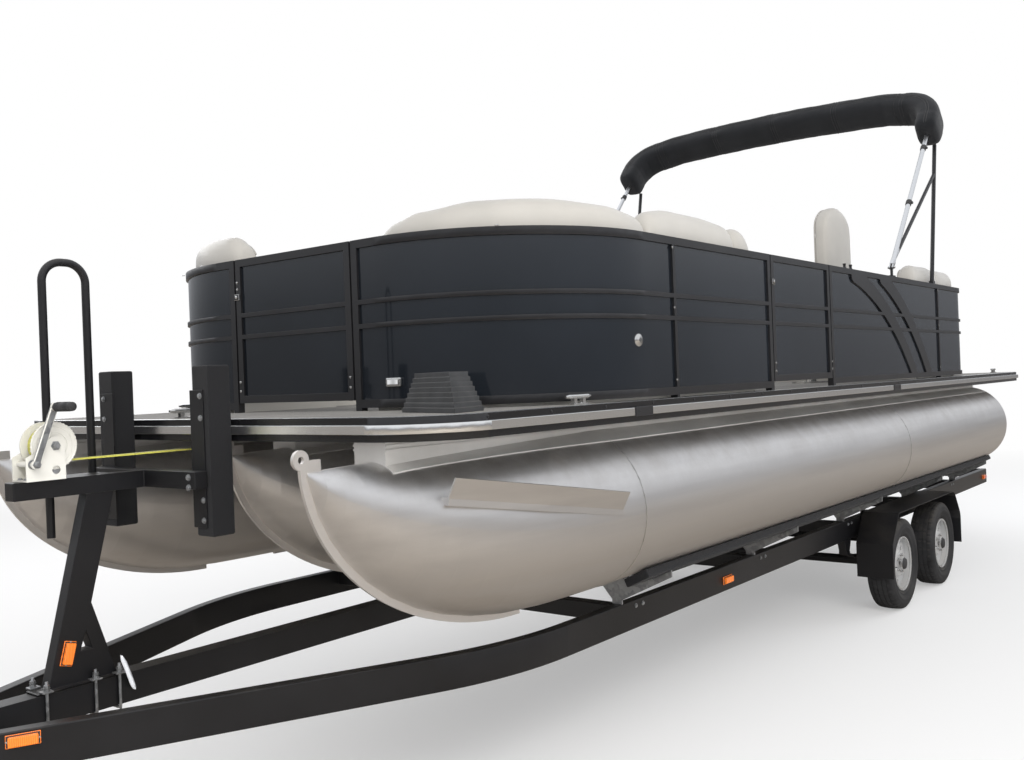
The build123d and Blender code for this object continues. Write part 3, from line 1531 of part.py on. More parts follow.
pieces = {
    "deck": deck,
    "deck_rail": deck_rail,
    "deck_beams": deck_beams,
    "pontoon_port": pontoon_port,
    "pontoon_centre": pontoon_centre,
    "pontoon_starboard": pontoon_starboard,
    "risers": risers,
    **fence_pieces,
    "lounge_bases": lounge_bases,
    "lounge_seats": lounge_seats,
    "lounge_backs": lounge_backs,
    "helm_console": helm_console,
    "helm_windscreen": helm_windscreen,
    "steering_wheel": steering_wheel,
    "chair_posts": chair_posts,
    **chair_pieces,
    "bimini_mounts": bimini_mounts,
    "bimini_arms": bimini_arms,
    "bimini_boot": bimini_boot,
    "motor_pod": motor_pod,
    "motor_clamp": motor_clamp,
    "motor_swivel": motor_swivel,
    "motor_leg": motor_leg,
    "motor_cowl": motor_cowl,
    "propeller": propeller,
    "cleats": cleats,
    "corner_chock": corner_chock,
    "trailer_rails": trailer_rails,
    "trailer_crossmembers": trailer_crossmembers,
    "trailer_tongue": trailer_tongue,
    "jack_tube": jack_tube,
    "jack_leg": jack_leg,
    "axles": axles,
    **wheel_pieces,
    "bunks": bunks,
    "bunk_brackets": bunk_brackets,
    "fenders": fenders,
    "winch_stand": winch_stand,
    "bow_stops": bow_stops,
    "bow_stop_brackets": bow_stop_brackets,
    "boarding_rail": boarding_rail,
    "winch": winch,
    "winch_strap": winch_strap,
}
for name, piece in pieces.items():
    piece.part.label = name
    export_step(piece.part, "parts/" + name + ".step")
print(len(pieces), "pieces")
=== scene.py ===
import math
import bmesh
import bpy
from mathutils import Matrix, Vector


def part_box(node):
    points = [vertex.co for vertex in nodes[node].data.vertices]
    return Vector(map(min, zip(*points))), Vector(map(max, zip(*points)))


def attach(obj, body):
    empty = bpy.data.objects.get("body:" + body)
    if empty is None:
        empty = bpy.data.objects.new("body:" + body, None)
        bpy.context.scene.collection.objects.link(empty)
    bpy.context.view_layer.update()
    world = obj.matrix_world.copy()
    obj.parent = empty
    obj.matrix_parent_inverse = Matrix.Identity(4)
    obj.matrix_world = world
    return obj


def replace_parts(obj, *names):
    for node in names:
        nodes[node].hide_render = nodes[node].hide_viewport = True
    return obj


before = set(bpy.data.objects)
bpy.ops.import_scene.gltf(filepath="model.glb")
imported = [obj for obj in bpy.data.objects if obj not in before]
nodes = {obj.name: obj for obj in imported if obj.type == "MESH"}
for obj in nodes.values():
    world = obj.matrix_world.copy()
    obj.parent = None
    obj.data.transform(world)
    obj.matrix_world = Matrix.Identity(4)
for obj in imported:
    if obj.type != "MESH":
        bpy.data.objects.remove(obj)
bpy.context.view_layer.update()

scene = bpy.context.scene
alongX, alongY, alongZ = Vector((1, 0, 0)), Vector((0, 1, 0)), Vector((0, 0, 1))
hands = (1, -1)


def report(stage):
    print("stage:", stage)


# Node helpers. A value is a number, a tuple or another node's output.
def fill(tree, node, values):
    for key, value in dict(values).items():
        if hasattr(value, "links"):
            tree.links.new(value, node.inputs[key])
        else:
            node.inputs[key].default_value = value
    return node


def put(tree, kind, values=(), **props):
    node = tree.nodes.new("ShaderNode" + kind)
    for prop, value in props.items():
        setattr(node, prop, value)
    return fill(tree, node, values)


def ramp(tree, source, stops):
    node = put(tree, "ValToRGB", {"Fac": source})
    while len(node.color_ramp.elements) < len(stops):
        node.color_ramp.elements.new(0.5)
    for element, (place, value) in zip(node.color_ramp.elements, stops):
        element.position = place
        element.color = value if hasattr(value, "__len__") else (value, value, value, 1.0)
    return node.outputs["Color"]


def maths(tree, operation, a, b=0.0):
    return put(tree, "Math", {0: a, 1: b}, operation=operation).outputs[0]


def times(tree, a, b):
    return maths(tree, "MULTIPLY", a, b)


def mixColour(tree, fac, a, b, blend="MIX"):
    return put(tree, "Mix", {0: fac, 6: a, 7: b}, data_type="RGBA", blend_type=blend).outputs[2]


def span(tree, fac, low, high, start=0.0, end=1.0):
    ends = {"From Min": start, "From Max": end, "To Min": low, "To Max": high}
    return put(tree, "MapRange", {"Value": fac, **ends}).outputs["Result"]


def clamp(tree, value):
    return put(tree, "Clamp", {0: value}).outputs[0]


def objectPlace(tree):
    return put(tree, "TexCoord").outputs["Object"]


def splitAxes(tree, vector):
    return put(tree, "SeparateXYZ", {0: vector}).outputs


def facingUp(tree):
    return splitAxes(tree, put(tree, "NewGeometry").outputs["Normal"])["Z"]


def stretched(tree, vector, factors):
    return put(tree, "VectorMath", {0: vector, 1: factors}, operation="MULTIPLY").outputs[0]


def noise(tree, place, scale, detail, roughness=0.5):
    return put(tree, "TexNoise", {"Vector": place, "Scale": scale, "Detail": detail, "Roughness": roughness}).outputs["Fac"]


def bump(tree, strength, distance, height):
    return put(tree, "Bump", {"Strength": strength, "Distance": distance, "Height": height}).outputs["Normal"]


def rgb(r, g, b):
    return (r, g, b, 1.0)


# Shader effects shared by the materials: each gives only colours, masks or normals.
def fineGrain(tree, given, place):
    clouds = noise(tree, place, given["Scale"], 6.0, given["Roughness"])
    return {"Mask": clouds, "Normal": bump(tree, given["Depth"], 0.002, clouds)}


def leatherGrain(tree, given, place):
    cells = put(tree, "TexVoronoi", {"Vector": place, "Scale": given["Scale"]}, feature="DISTANCE_TO_EDGE").outputs["Distance"]
    creases = noise(tree, place, 9.0, 4.0)
    height = maths(tree, "ADD", maths(tree, "MINIMUM", cells, 0.12), times(tree, creases, 0.5))
    return {"Mask": creases, "Normal": bump(tree, given["Depth"], 0.003, height)}


def wovenThreads(tree, given, place):
    scaled = put(tree, "VectorMath", {0: place, "Scale": given["Scale"]}, operation="SCALE").outputs[0]
    x, y, z = (maths(tree, "ABSOLUTE", maths(tree, "SINE", part)) for part in splitAxes(tree, scaled))
    total = maths(tree, "ADD", times(tree, x, y), times(tree, y, z))
    return {"Mask": total, "Normal": bump(tree, given["Depth"], 0.001, total)}


def brushedLines(tree, given, place):
    lines = noise(tree, stretched(tree, place, given["Along"]), 1.0, 5.0, 0.7)
    return {"Mask": lines, "Normal": bump(tree, given["Depth"], 0.001, lines)}


def wornEdges(tree, given, place):
    soft = put(tree, "Bevel", {"Radius": given["Radius"]}, samples=4).outputs[0]
    sharp = put(tree, "NewGeometry").outputs["Normal"]
    same = put(tree, "VectorMath", {0: soft, 1: sharp}, operation="DOT_PRODUCT").outputs["Value"]
    broken = ramp(tree, noise(tree, place, 22.0, 5.0), ((0.45, 0.0), (0.62, 1.0)))
    worn = times(tree, times(tree, maths(tree, "SUBTRACT", 1.0, same), 6.0), broken)
    return {"Mask": clamp(tree, times(tree, worn, given["Amount"]))}


def settledDust(tree, given, place):
    upward = span(tree, facingUp(tree), 0.0, 1.0, 0.1)
    drifts = ramp(tree, noise(tree, place, given["Scale"], 8.0, 0.65), ((0.35, 0.0), (0.7, 1.0)))
    return {"Mask": times(tree, times(tree, upward, drifts), given["Amount"])}


def softBlotches(tree, given, place):
    level = ramp(tree, noise(tree, place, given["Scale"], 5.0, 0.55), ((0.32, 0.0), (0.68, 1.0)))
    return {"Color": mixColour(tree, level, given["Low"], given["High"]), "Mask": level}


def zincSpangle(tree, given, place):
    cells = put(tree, "TexVoronoi", {"Vector": place, "Scale": given["Scale"]})
    return {"Mask": put(tree, "SeparateColor", {0: cells.outputs["Color"]}).outputs[0]}


def newGroup(recipe, **inputs):
    group = bpy.data.node_groups.new(recipe.__name__, "ShaderNodeTree")

    def socket(label, side, kind):
        return group.interface.new_socket(name=label, in_out=side, socket_type="NodeSocket" + kind)

    for label, value in inputs.items():
        kind = "Float" if isinstance(value, float) else {3: "Vector", 4: "Color"}[len(value)]
        socket(label, "INPUT", kind).default_value = value
    made = recipe(group, group.nodes.new("NodeGroupInput").outputs, objectPlace(group))
    for label in made:
        socket(label, "OUTPUT", {"Mask": "Float", "Normal": "Vector", "Color": "Color"}[label])
    fill(group, group.nodes.new("NodeGroupOutput"), made)
    return group


groups = {
    fineGrain: newGroup(fineGrain, Scale=200.0, Depth=0.1, Roughness=0.6),
    leatherGrain: newGroup(leatherGrain, Scale=260.0, Depth=0.25),
    wovenThreads: newGroup(wovenThreads, Scale=400.0, Depth=0.3),
    brushedLines: newGroup(brushedLines, Along=(4.0, 160.0, 160.0), Depth=0.05),
    wornEdges: newGroup(wornEdges, Radius=0.004, Amount=1.0),
    settledDust: newGroup(settledDust, Amount=0.3, Scale=6.0),
    softBlotches: newGroup(softBlotches, Scale=2.0, Low=rgb(0.4, 0.4, 0.4), High=rgb(0.5, 0.5, 0.5)),
    zincSpangle: newGroup(zincSpangle, Scale=45.0),
}


def effect(tree, recipe, **values):
    node = tree.nodes.new("ShaderNodeGroup")
    node.node_tree = groups[recipe]
    return fill(tree, node, values).outputs


def blotches(tree, scale, low, high):
    return effect(tree, softBlotches, Scale=scale, Low=rgb(*low), High=rgb(*high))["Color"]


def dusted(tree, tone, amount, scale, colour):
    return mixColour(tree, effect(tree, settledDust, Amount=amount, Scale=scale)["Mask"], tone, rgb(*colour))


report("effects")


# Materials, one for each slot of the record and some for small pieces.
def newMaterial(name, colour, roughness, metallic=0.0, **settings):
    material = bpy.data.materials.new(name)
    material.use_nodes = True
    tree = material.node_tree
    shader = tree.nodes["Principled BSDF"]
    fill(tree, shader, {"Base Color": rgb(*colour), "Roughness": roughness, "Metallic": metallic})
    fill(tree, shader, {key.replace("_", " "): value for key, value in settings.items()})
    return material, tree, shader


def dress(tree, shader, tone, fine, low, high, **more):
    # colour, relief and a roughness that follows the relief's mask
    rough = span(tree, fine["Mask"], low, high)
    fill(tree, shader, {"Base Color": tone, "Normal": fine["Normal"], "Roughness": rough, **more})


def layered(name, base, deeper, spread, rough, dust, grain, worn=0.0, **settings):
    # dust is (amount, scale, colour), grain is (scale, depth), rough is (low, high)
    material, tree, shader = newMaterial(name, base, rough[0], **settings)
    tone = blotches(tree, spread, base, deeper)
    if worn:
        tone = mixColour(tree, effect(tree, wornEdges, Radius=0.003, Amount=worn)["Mask"], tone, rgb(0.22, 0.21, 0.2))
    fine = effect(tree, fineGrain, Scale=grain[0], Depth=grain[1])
    dress(tree, shader, dusted(tree, tone, *dust), fine, *rough)
    return material


def paintedBlack(name, base, rough, worn, dust):
    deeper = [c * 1.7 + 0.004 for c in base]
    return layered(name, base, deeper, 1.6, rough, (dust, 7.0, (0.26, 0.23, 0.19)), (260.0, 0.12), worn)


def paintedPlain(name, base, deeper, rough, dust=0.25, coat=0.0):
    coated = {"Coat_Weight": coat, "Coat_Roughness": 0.08}
    return layered(name, base, deeper, 2.2, rough, (dust, 8.0, (0.42, 0.38, 0.32)), (180.0, 0.1), **coated)


def rubber(name, base, rough=(0.62, 0.85), dust=0.5):
    return layered(name, base, [c * 1.6 + 0.008 for c in base], 7.0, rough, (dust, 10.0, (0.16, 0.14, 0.11)), (320.0, 0.25))


def brightMetal(name, base, rough, along=(3.0, 140.0, 140.0), depth=0.06, metallic=1.0):
    material, tree, shader = newMaterial(name, base, rough[0], metallic)
    drawn = effect(tree, brushedLines, Along=along, Depth=depth)
    stained = [0.6 * clean + 0.4 * stain for clean, stain in zip(base, (0.42, 0.4, 0.37))]
    dress(tree, shader, blotches(tree, 2.4, base, stained), drawn, *rough)
    return material


floatOffset, floatHeight, floatRadius = 0.973, 1.096, 0.3175


def floatSkin():
    # drawn sheet, a painted reflection of brown ground that darkens the lower half, and a paler stem band up each nose
    material, tree, shader = newMaterial("floatSkin", (0.5, 0.49, 0.47), 0.3, 1.0)
    place = objectPlace(tree)
    sheets = noise(tree, stretched(tree, place, (0.35, 4.0, 9.0)), 1.6, 6.0)
    x, y, z = splitAxes(tree, place)
    aside = maths(tree, "ABSOLUTE", y)
    offCentre = maths(tree, "MINIMUM", aside, maths(tree, "ABSOLUTE", maths(tree, "SUBTRACT", aside, floatOffset)))
    stem = times(tree, maths(tree, "LESS_THAN", offCentre, 0.0106), maths(tree, "GREATER_THAN", x, 2.25))
    # painted reflection of the ground: brown patches, darker towards the bottom and a little rougher
    paintedGroundReflection = times(tree, span(tree, z, 0.0, 1.0, 1.12, 0.8), ramp(tree, sheets, ((0.35, 0.15), (0.65, 0.6))))
    tone = mixColour(tree, ramp(tree, sheets, ((0.3, 0.0), (0.7, 1.0))), rgb(0.68, 0.67, 0.665), rgb(0.8, 0.79, 0.78))
    tone = mixColour(tree, paintedGroundReflection, tone, rgb(0.42, 0.38, 0.34))
    tone = dusted(tree, tone, 0.5, 9.0, (0.34, 0.3, 0.26))
    drawn = effect(tree, brushedLines, Along=(2.0, 90.0, 90.0), Depth=0.05)
    fill(tree, shader, {
        "Base Color": mixColour(tree, stem, tone, rgb(0.7, 0.67, 0.64)),
        "Metallic": span(tree, stem, 1.0, 0.8), "Normal": drawn["Normal"],
        "Roughness": maths(tree, "ADD", span(tree, drawn["Mask"], 0.38, 0.5), times(tree, paintedGroundReflection, 0.15))})
    return material


def rubRail():
    # a bright strip between black ribs, and a bright top edge
    material, tree, shader = newMaterial("rubRail", (0.7, 0.7, 0.7), 0.3)
    place = splitAxes(tree, objectPlace(tree))["Z"]
    strip = times(tree, maths(tree, "GREATER_THAN", place, 1.4725), maths(tree, "LESS_THAN", place, 1.5022))
    top = times(tree, maths(tree, "GREATER_THAN", facingUp(tree), 0.7), maths(tree, "GREATER_THAN", place, 1.52))
    bright = clamp(tree, maths(tree, "ADD", strip, top))
    streaks = effect(tree, brushedLines, Along=(1.2, 1.2, 60.0), Depth=0.0)
    tone = mixColour(tree, bright, rgb(0.008, 0.008, 0.009), rgb(0.86, 0.86, 0.85))
    fill(tree, shader, {"Base Color": tone, "Metallic": bright, "Roughness": span(tree, streaks["Mask"], 0.16, 0.26)})
    return material


def vinyl(name, light, deep, rough=0.42):
    material, tree, shader = newMaterial(name, light, rough, Sheen_Weight=0.15, Coat_Weight=0.08)
    leather = effect(tree, leatherGrain, Scale=320.0, Depth=0.22)
    dress(tree, shader, blotches(tree, 2.6, light, deep), leather, rough - 0.07, rough + 0.09)
    return material


def cloth(name, light, deep, threads, sheen):
    material, tree, shader = newMaterial(name, light, 0.85, Sheen_Weight=sheen)
    woven = effect(tree, wovenThreads, Scale=threads, Depth=0.35)
    shade = span(tree, woven["Mask"], 0.72, 1.1)
    tone = mixColour(tree, 1.0, blotches(tree, 4.0, deep, light), shade, "MULTIPLY")
    fill(tree, shader, {"Base Color": tone, "Normal": woven["Normal"]})
    return material


def zincCoat():
    material, tree, shader = newMaterial("zincCoat", (0.55, 0.56, 0.57), 0.45, 0.85)
    spangle = effect(tree, zincSpangle, Scale=55.0)["Mask"]
    tone = mixColour(tree, spangle, rgb(0.26, 0.27, 0.28), rgb(0.46, 0.47, 0.48))
    fill(tree, shader, {
        "Base Color": dusted(tree, tone, 0.4, 9.0, (0.32, 0.28, 0.23)), "Roughness": span(tree, spangle, 0.34, 0.58),
        "Normal": effect(tree, fineGrain, Scale=150.0, Depth=0.1)["Normal"]})
    return material


def smokeGlass():
    material, tree, shader = newMaterial("smokeGlass", (0.55, 0.58, 0.62), 0.03, Transmission_Weight=0.96, IOR=1.3)
    clouds = effect(tree, fineGrain, Scale=18.0, Depth=0.02)["Mask"]
    fill(tree, shader, {"Roughness": span(tree, clouds, 0.01, 0.08)})
    return material


def lens(name, colour, glow):
    material, tree, shader = newMaterial(name, colour, 0.15, Coat_Weight=0.8, Emission_Color=rgb(*colour), Emission_Strength=glow)
    wave = put(tree, "TexWave", {"Vector": objectPlace(tree), "Scale": 60.0}, wave_type="BANDS", bands_direction="X")
    ribs = wave.outputs["Fac"]
    tone = mixColour(tree, ribs, rgb(*colour), rgb(*(c * 0.6 for c in colour)))
    fill(tree, shader, {"Base Color": tone, "Normal": bump(tree, 0.3, 0.001, ribs)})
    return material


def carpet():
    material, tree, shader = newMaterial("bunkCarpet", (0.01, 0.01, 0.012), 0.95, Sheen_Weight=0.06)
    pile = effect(tree, fineGrain, Scale=700.0, Depth=0.9, Roughness=0.8)
    tone = mixColour(tree, pile["Mask"], rgb(0.004, 0.004, 0.005), rgb(0.02, 0.02, 0.022))
    fill(tree, shader, {"Base Color": tone, "Normal": pile["Normal"]})
    return material


def deckFloor():
    # woven vinyl with a bright metal trim along the deck's rounded edge
    half, bow, corner, trimWidth = 1.265, 3.3, 0.25, 0.028
    material, tree, shader = newMaterial("deckFloor", (0.24, 0.23, 0.22), 0.75)
    woven = effect(tree, wovenThreads, Scale=520.0, Depth=0.4)
    tone = blotches(tree, 3.0, (0.225, 0.218, 0.208), (0.275, 0.266, 0.252))
    covered = mixColour(tree, 1.0, tone, span(tree, woven["Mask"], 0.6, 1.15), "MULTIPLY")
    x, y = splitAxes(tree, objectPlace(tree))[:2]
    across = maths(tree, "MAXIMUM", maths(tree, "SUBTRACT", maths(tree, "ABSOLUTE", y), half - corner))
    ahead = maths(tree, "MAXIMUM", maths(tree, "SUBTRACT", x, bow - corner))
    reach = maths(tree, "SQRT", maths(tree, "ADD", times(tree, across, across), times(tree, ahead, ahead)))
    trim = maths(tree, "GREATER_THAN", reach, corner - trimWidth)
    fill(tree, shader, {
        "Base Color": mixColour(tree, trim, covered, rgb(0.82, 0.82, 0.81)), "Metallic": span(tree, trim, 0.0, 0.9),
        "Roughness": span(tree, trim, 0.8, 0.3), "Normal": woven["Normal"]})
    return material


# The canopy's arms: the pivot on the fence, the direction up the arm and the one square to it.
armLean, armHalf, armPivot = math.radians(48), 1.234, Vector((-1.12, 0, 2.254))
armUp = Vector((-math.cos(armLean), 0, math.sin(armLean)))
armAft = Vector((-math.sin(armLean), 0, -math.cos(armLean)))


def armSkin():
    # silver along the leaning arms, black on the struts beside them
    material, tree, shader = newMaterial("armSkin", (0.7, 0.7, 0.7), 0.3)
    fromPivot = put(tree, "VectorMath", {0: objectPlace(tree), 1: armPivot}, operation="SUBTRACT").outputs[0]
    offLine = put(tree, "VectorMath", {0: fromPivot, 1: armAft}, operation="DOT_PRODUCT").outputs["Value"]
    strut = maths(tree, "GREATER_THAN", maths(tree, "ABSOLUTE", offLine), 0.023)
    drawn = effect(tree, brushedLines, Along=(20.0, 60.0, 20.0), Depth=0.008)
    tone = mixColour(tree, strut, rgb(0.74, 0.75, 0.76), rgb(0.01, 0.01, 0.011))
    dress(tree, shader, tone, drawn, 0.24, 0.38, Metallic=span(tree, strut, 1.0, 0.0))
    return material


finishes = {
    "deck_floor": deckFloor(),
    "bright_rail": brightMetal("brightRail", (0.78, 0.78, 0.77), (0.16, 0.28)),
    "mill_aluminium": brightMetal("millAluminium", (0.62, 0.61, 0.6), (0.28, 0.44)),
    "tube_aluminium": floatSkin(),
    "black_frame": paintedBlack("blackFrame", (0.006, 0.006, 0.007), (0.28, 0.42), 0.06, 0.1),
    "slate_panel": layered("slatePanel", (0.007, 0.009, 0.012), (0.014, 0.017, 0.022), 0.8, (0.05, 0.14),
                           (0.35, 5.0, (0.3, 0.29, 0.27)), (30.0, 0.05), Coat_Weight=0.25, Coat_Roughness=0.03),
    "pale_moulding": paintedPlain("paleMoulding", (0.66, 0.64, 0.6), (0.58, 0.56, 0.52), (0.32, 0.48)),
    "greige_vinyl": vinyl("greigeVinyl", (0.47, 0.45, 0.415), (0.4, 0.385, 0.355)),
    "smoke_glass": smokeGlass(),
    "black_grip": rubber("blackGrip", (0.02, 0.02, 0.021), (0.5, 0.7), 0.1),
    "silver_arm": brightMetal("silverArm", (0.7, 0.71, 0.72), (0.24, 0.36), (30.0, 200.0, 30.0)),
    "dark_canvas": cloth("darkCanvas", (0.014, 0.015, 0.018), (0.007, 0.008, 0.01), 900.0, 0.12),
    "motor_black": paintedBlack("motorBlack", (0.007, 0.007, 0.008), (0.12, 0.24), 0.03, 0.08),
    "bright_steel": brightMetal("brightSteel", (0.72, 0.72, 0.71), (0.17, 0.24), (9.0, 9.0, 40.0), 0.008),
    "trailer_black": paintedBlack("trailerBlack", (0.004, 0.004, 0.005), (0.34, 0.5), 0.08, 0.1),
    "galvanised": zincCoat(),
    "bunk_carpet": carpet(),
    "cream_winch": paintedPlain("creamWinch", (0.74, 0.73, 0.68), (0.62, 0.6, 0.54), (0.34, 0.52), 0.4),
    "strap_webbing": cloth("strapWebbing", (0.62, 0.6, 0.1), (0.46, 0.44, 0.08), 1500.0, 0.1),
    "chock_rubber": rubber("chockRubber", (0.03, 0.031, 0.033), (0.55, 0.75), 0.25),
    "tyre_rubber": rubber("tyreRubber", (0.012, 0.012, 0.013)),
    "white_wheel": paintedPlain("whiteWheel", (0.46, 0.46, 0.46), (0.36, 0.36, 0.36), (0.24, 0.4), 0.4, 0.3),
    "amber_lens": lens("amberLens", (0.95, 0.22, 0.02), 0.25),
    "red_lens": lens("redLens", (0.55, 0.01, 0.01), 0.08),
    "clear_lens": lens("clearLens", (0.8, 0.82, 0.84), 0.05),
    "tag_paper": paintedPlain("tagPaper", (0.8, 0.81, 0.84), (0.72, 0.74, 0.78), (0.45, 0.6), 0.1),
    "dark_seam": vinyl("darkSeam", (0.4, 0.38, 0.35), (0.34, 0.325, 0.3), 0.5),
}
for node in nodes.values():
    for place in node.material_slots:
        place.material = finishes[place.material.name.split(".")[0]]
nodes["deck_rail"].material_slots[0].material = rubRail()
riserSkin = brightMetal("riserSkin", (0.8, 0.79, 0.77), (0.34, 0.48), (2.0, 60.0, 160.0), metallic=0.55)
nodes["risers"].material_slots[0].material = riserSkin
nodes["bimini_arms"].material_slots[0].material = armSkin()
report("materials")


# Mesh tools. Points are in metres in the frame's own axes.
def basis(*axes):
    return Matrix(axes).transposed().to_4x4()


def around(along):
    along = Vector(along).normalized()
    side = along.cross(alongZ if abs(along.z) < 0.9 else alongX).normalized()
    return along, side, along.cross(side)


def ringAt(centre, radius, count, side=alongX, other=alongZ):
    angles = (2 * math.pi * k / count for k in range(count))
    return [Vector(centre) + (side * math.cos(a) + other * math.sin(a)) * radius for a in angles]


def squircle(angle, power):
    c, s = math.cos(angle), math.sin(angle)
    grow = 1 / (abs(c) ** power + abs(s) ** power) ** (1 / power)
    return c * grow, s * grow


def addVerts(bm, points):
    return [bm.verts.new(p) for p in points]


def skin(bm, first, second, mat=0, smooth=True, closed=True):
    count = max(len(first), len(second))
    for i in range(count if closed else count - 1):
        j = (i + 1) % count
        lower = [first[0]] if len(first) == 1 else [first[i], first[j]]
        upper = [second[0]] if len(second) == 1 else [second[j], second[i]]
        face = bm.faces.new(lower + upper)
        face.material_index = mat
        face.smooth = smooth


def skinAll(bm, rings, mat=0, smooth=True, closed=True):
    for first, second in zip(rings, rings[1:]):
        skin(bm, first, second, mat, smooth, closed)


def capEnd(bm, ring, centre, outward, steps, tip):
    # steps are (share of the ring's size, distance outward)
    rings = [[centre + (v.co - centre) * share + outward * out for v in ring] for share, out in steps]
    skinAll(bm, [ring] + [addVerts(bm, points) for points in rings + [[centre + outward * tip]]])


def turned(bm, origin, along, profile, sides=24, mat=0, smooth=True):
    # a profile of (radius, distance) turned about a line
    along, side, other = around(along)
    rings = []
    for radius, distance in profile:
        centre = Vector(origin) + along * distance
        rings.append(addVerts(bm, ringAt(centre, radius, sides, side, other) if radius > 1e-6 else [centre]))
    skinAll(bm, rings, mat, smooth)


def disc(radius, thick):
    return (0, 0), (radius, 0), (radius, thick), (0, thick)


def bar(bm, start, end, radius, sides, mat=0):
    start, end = Vector(start), Vector(end)
    length = (end - start).length
    cut = min(radius * 0.15, length / 3)
    profile = ((0, 0), (radius - cut, 0), (radius, cut), (radius, length - cut), (radius - cut, length), (0, length))
    turned(bm, start, end - start, profile, sides, mat, sides > 8)


def block(bm, centre, size, chamfer=0.002, mat=0, spin=None, segments=2):
    made = bmesh.ops.create_cube(bm, size=1.0)["verts"]
    move = Matrix.Translation(centre) @ (spin or Matrix.Identity(4)) @ Matrix.Diagonal((*size, 1.0))
    bmesh.ops.transform(bm, matrix=move, verts=made)
    for face in {f for v in made for f in v.link_faces}:
        face.material_index = mat
    edges = list({e for v in made for e in v.link_edges})
    bmesh.ops.bevel(bm, geom=edges, offset=chamfer, segments=segments, affect="EDGES", profile=0.5)


def slab(bm, corner, opposite, chamfer=0.002, mat=0):
    low, high = (Vector([pick(a, b) for a, b in zip(corner, opposite)]) for pick in (min, max))
    block(bm, (low + high) / 2, high - low, chamfer, mat)


def hose(bm, points, radius, sides=10, mat=0, closed=False):
    points = [Vector(p) for p in points]
    last = len(points) - 1
    rings = []
    for i, place in enumerate(points):
        before = points[i - 1] if closed or i else place
        after = points[(i + 1) % (last + 1)] if closed or i < last else place
        rings.append(addVerts(bm, ringAt(place, radius, sides, *around(after - before)[1:])))
    skinAll(bm, rings, mat)
    if closed:
        skin(bm, rings[-1], rings[0], mat)
    else:
        for ring in (rings[0][::-1], rings[-1]):
            bm.faces.new(ring).material_index = mat


def bolt(bm, place, along, size, mat=0):
    # a washer and a hexagon head with its chamfer
    turned(bm, place, along, disc(size * 1.5, size * 0.2), 20, mat, False)
    head = ((size * 1.1, size * 0.2), (size * 1.1, size * 0.8), (size * 0.9, size * 0.95), (0, size))
    turned(bm, place, along, head, 6, mat, False)


def bend(points, steps):
    # points along a smooth line through the given ones
    points = [Vector(p) for p in points]
    ends = [2 * points[0] - points[1]] + points + [2 * points[-1] - points[-2]]
    out = []
    for a, b, c, d in zip(ends, ends[1:], ends[2:], ends[3:]):
        square, cube = 2 * a - 5 * b + 4 * c - d, 3 * b - a - 3 * c + d
        out += [0.5 * (2 * b + (c - a) * t + square * t * t + cube * t ** 3) for t in (k / steps for k in range(steps))]
    return out + [points[-1]]


def runLengths(points):
    lengths = [0.0]
    for a, b in zip(points, points[1:]):
        lengths.append(lengths[-1] + (b - a).length)
    return lengths


def link(name, data):
    thing = bpy.data.objects.new(name, data)
    scene.collection.objects.link(thing)
    return thing


def finishPiece(bm, name, skins, body="root", smooth=False):
    # skins are finishes in the order of the mesh's material numbers
    bmesh.ops.recalc_face_normals(bm, faces=bm.faces)
    mesh = bpy.data.meshes.new(name)
    bm.to_mesh(mesh)
    bm.free()
    for key in skins.split():
        mesh.materials.append(finishes[key])
    for face in mesh.polygons:
        face.use_smooth = face.use_smooth or smooth
    piece = link(name, mesh)
    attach(piece, body)
    return piece


def roundOff(piece):
    sub = piece.modifiers.new("smooth", "SUBSURF")
    sub.levels = sub.render_levels = 1


# Rounded edges on the rigid pieces: the width of the rounding, and the pieces that have it.
roundings = {
    0.0015: "bow_stop_brackets bunk_brackets fenders",
    0.002: "deck_rail deck_beams corner_chock helm_windscreen",
    0.003: "bow_gate_frame side_gate_frame stern_gate_frame",
    0.004: "fence_port_frame fence_starboard_frame fence_stern_frame winch_stand motor_pod",
    0.005: "trailer_crossmembers trailer_tongue",
    0.006: "trailer_rails bow_stops lounge_bases motor_leg",
    0.008: "bunks",
    0.018: "helm_console",
}
for width, names in roundings.items():
    for name in names.split():
        nodes[name].modifiers.new("weld", "WELD").merge_threshold = 0.00005
        edge = nodes[name].modifiers.new("round", "BEVEL")
        edge.width = width
        edge.segments = 3 if width > 0.005 else 2
        edge.limit_method = "ANGLE"
        edge.angle_limit = math.radians(35)
        edge.harden_normals = True
report("tools")


# The camera at the photograph's place.
photoView = {"place": (5.479, 3.293, 1.6245), "yaw": -141.804, "pitch": 0.005, "roll": -2.197, "lens": 35.37}


def placeCamera():
    yaw, pitch, roll = (math.radians(photoView[k]) for k in ("yaw", "pitch", "roll"))
    ahead = Vector((math.cos(yaw) * math.cos(pitch), math.sin(yaw) * math.cos(pitch), math.sin(pitch)))
    right = ahead.cross(alongZ).normalized()
    up = right.cross(ahead)
    level = right * math.cos(roll) + up * math.sin(roll)
    upright = up * math.cos(roll) - right * math.sin(roll)
    camera = link("photoCamera", bpy.data.cameras.new("photoCamera"))
    camera.data.lens = photoView["lens"]
    camera.data.sensor_width = 36.0
    camera.data.clip_end = 200.0
    camera.matrix_world = Matrix.Translation(photoView["place"]) @ basis(level, upright, -ahead)
    scene.camera = camera


def softLight(name, place, target, size, power, colour=(1, 1, 1), mirrored=False):
    lamp = bpy.data.lights.new(name, "AREA")
    lamp.shape = "RECTANGLE"
    lamp.size, lamp.size_y = size
    lamp.energy = power
    lamp.color = colour
    holder = link(name, lamp)
    holder.location = place
    holder.visible_glossy = mirrored
    holder.rotation_euler = (Vector(target) - Vector(place)).to_track_quat("-Z", "Y").to_euler()


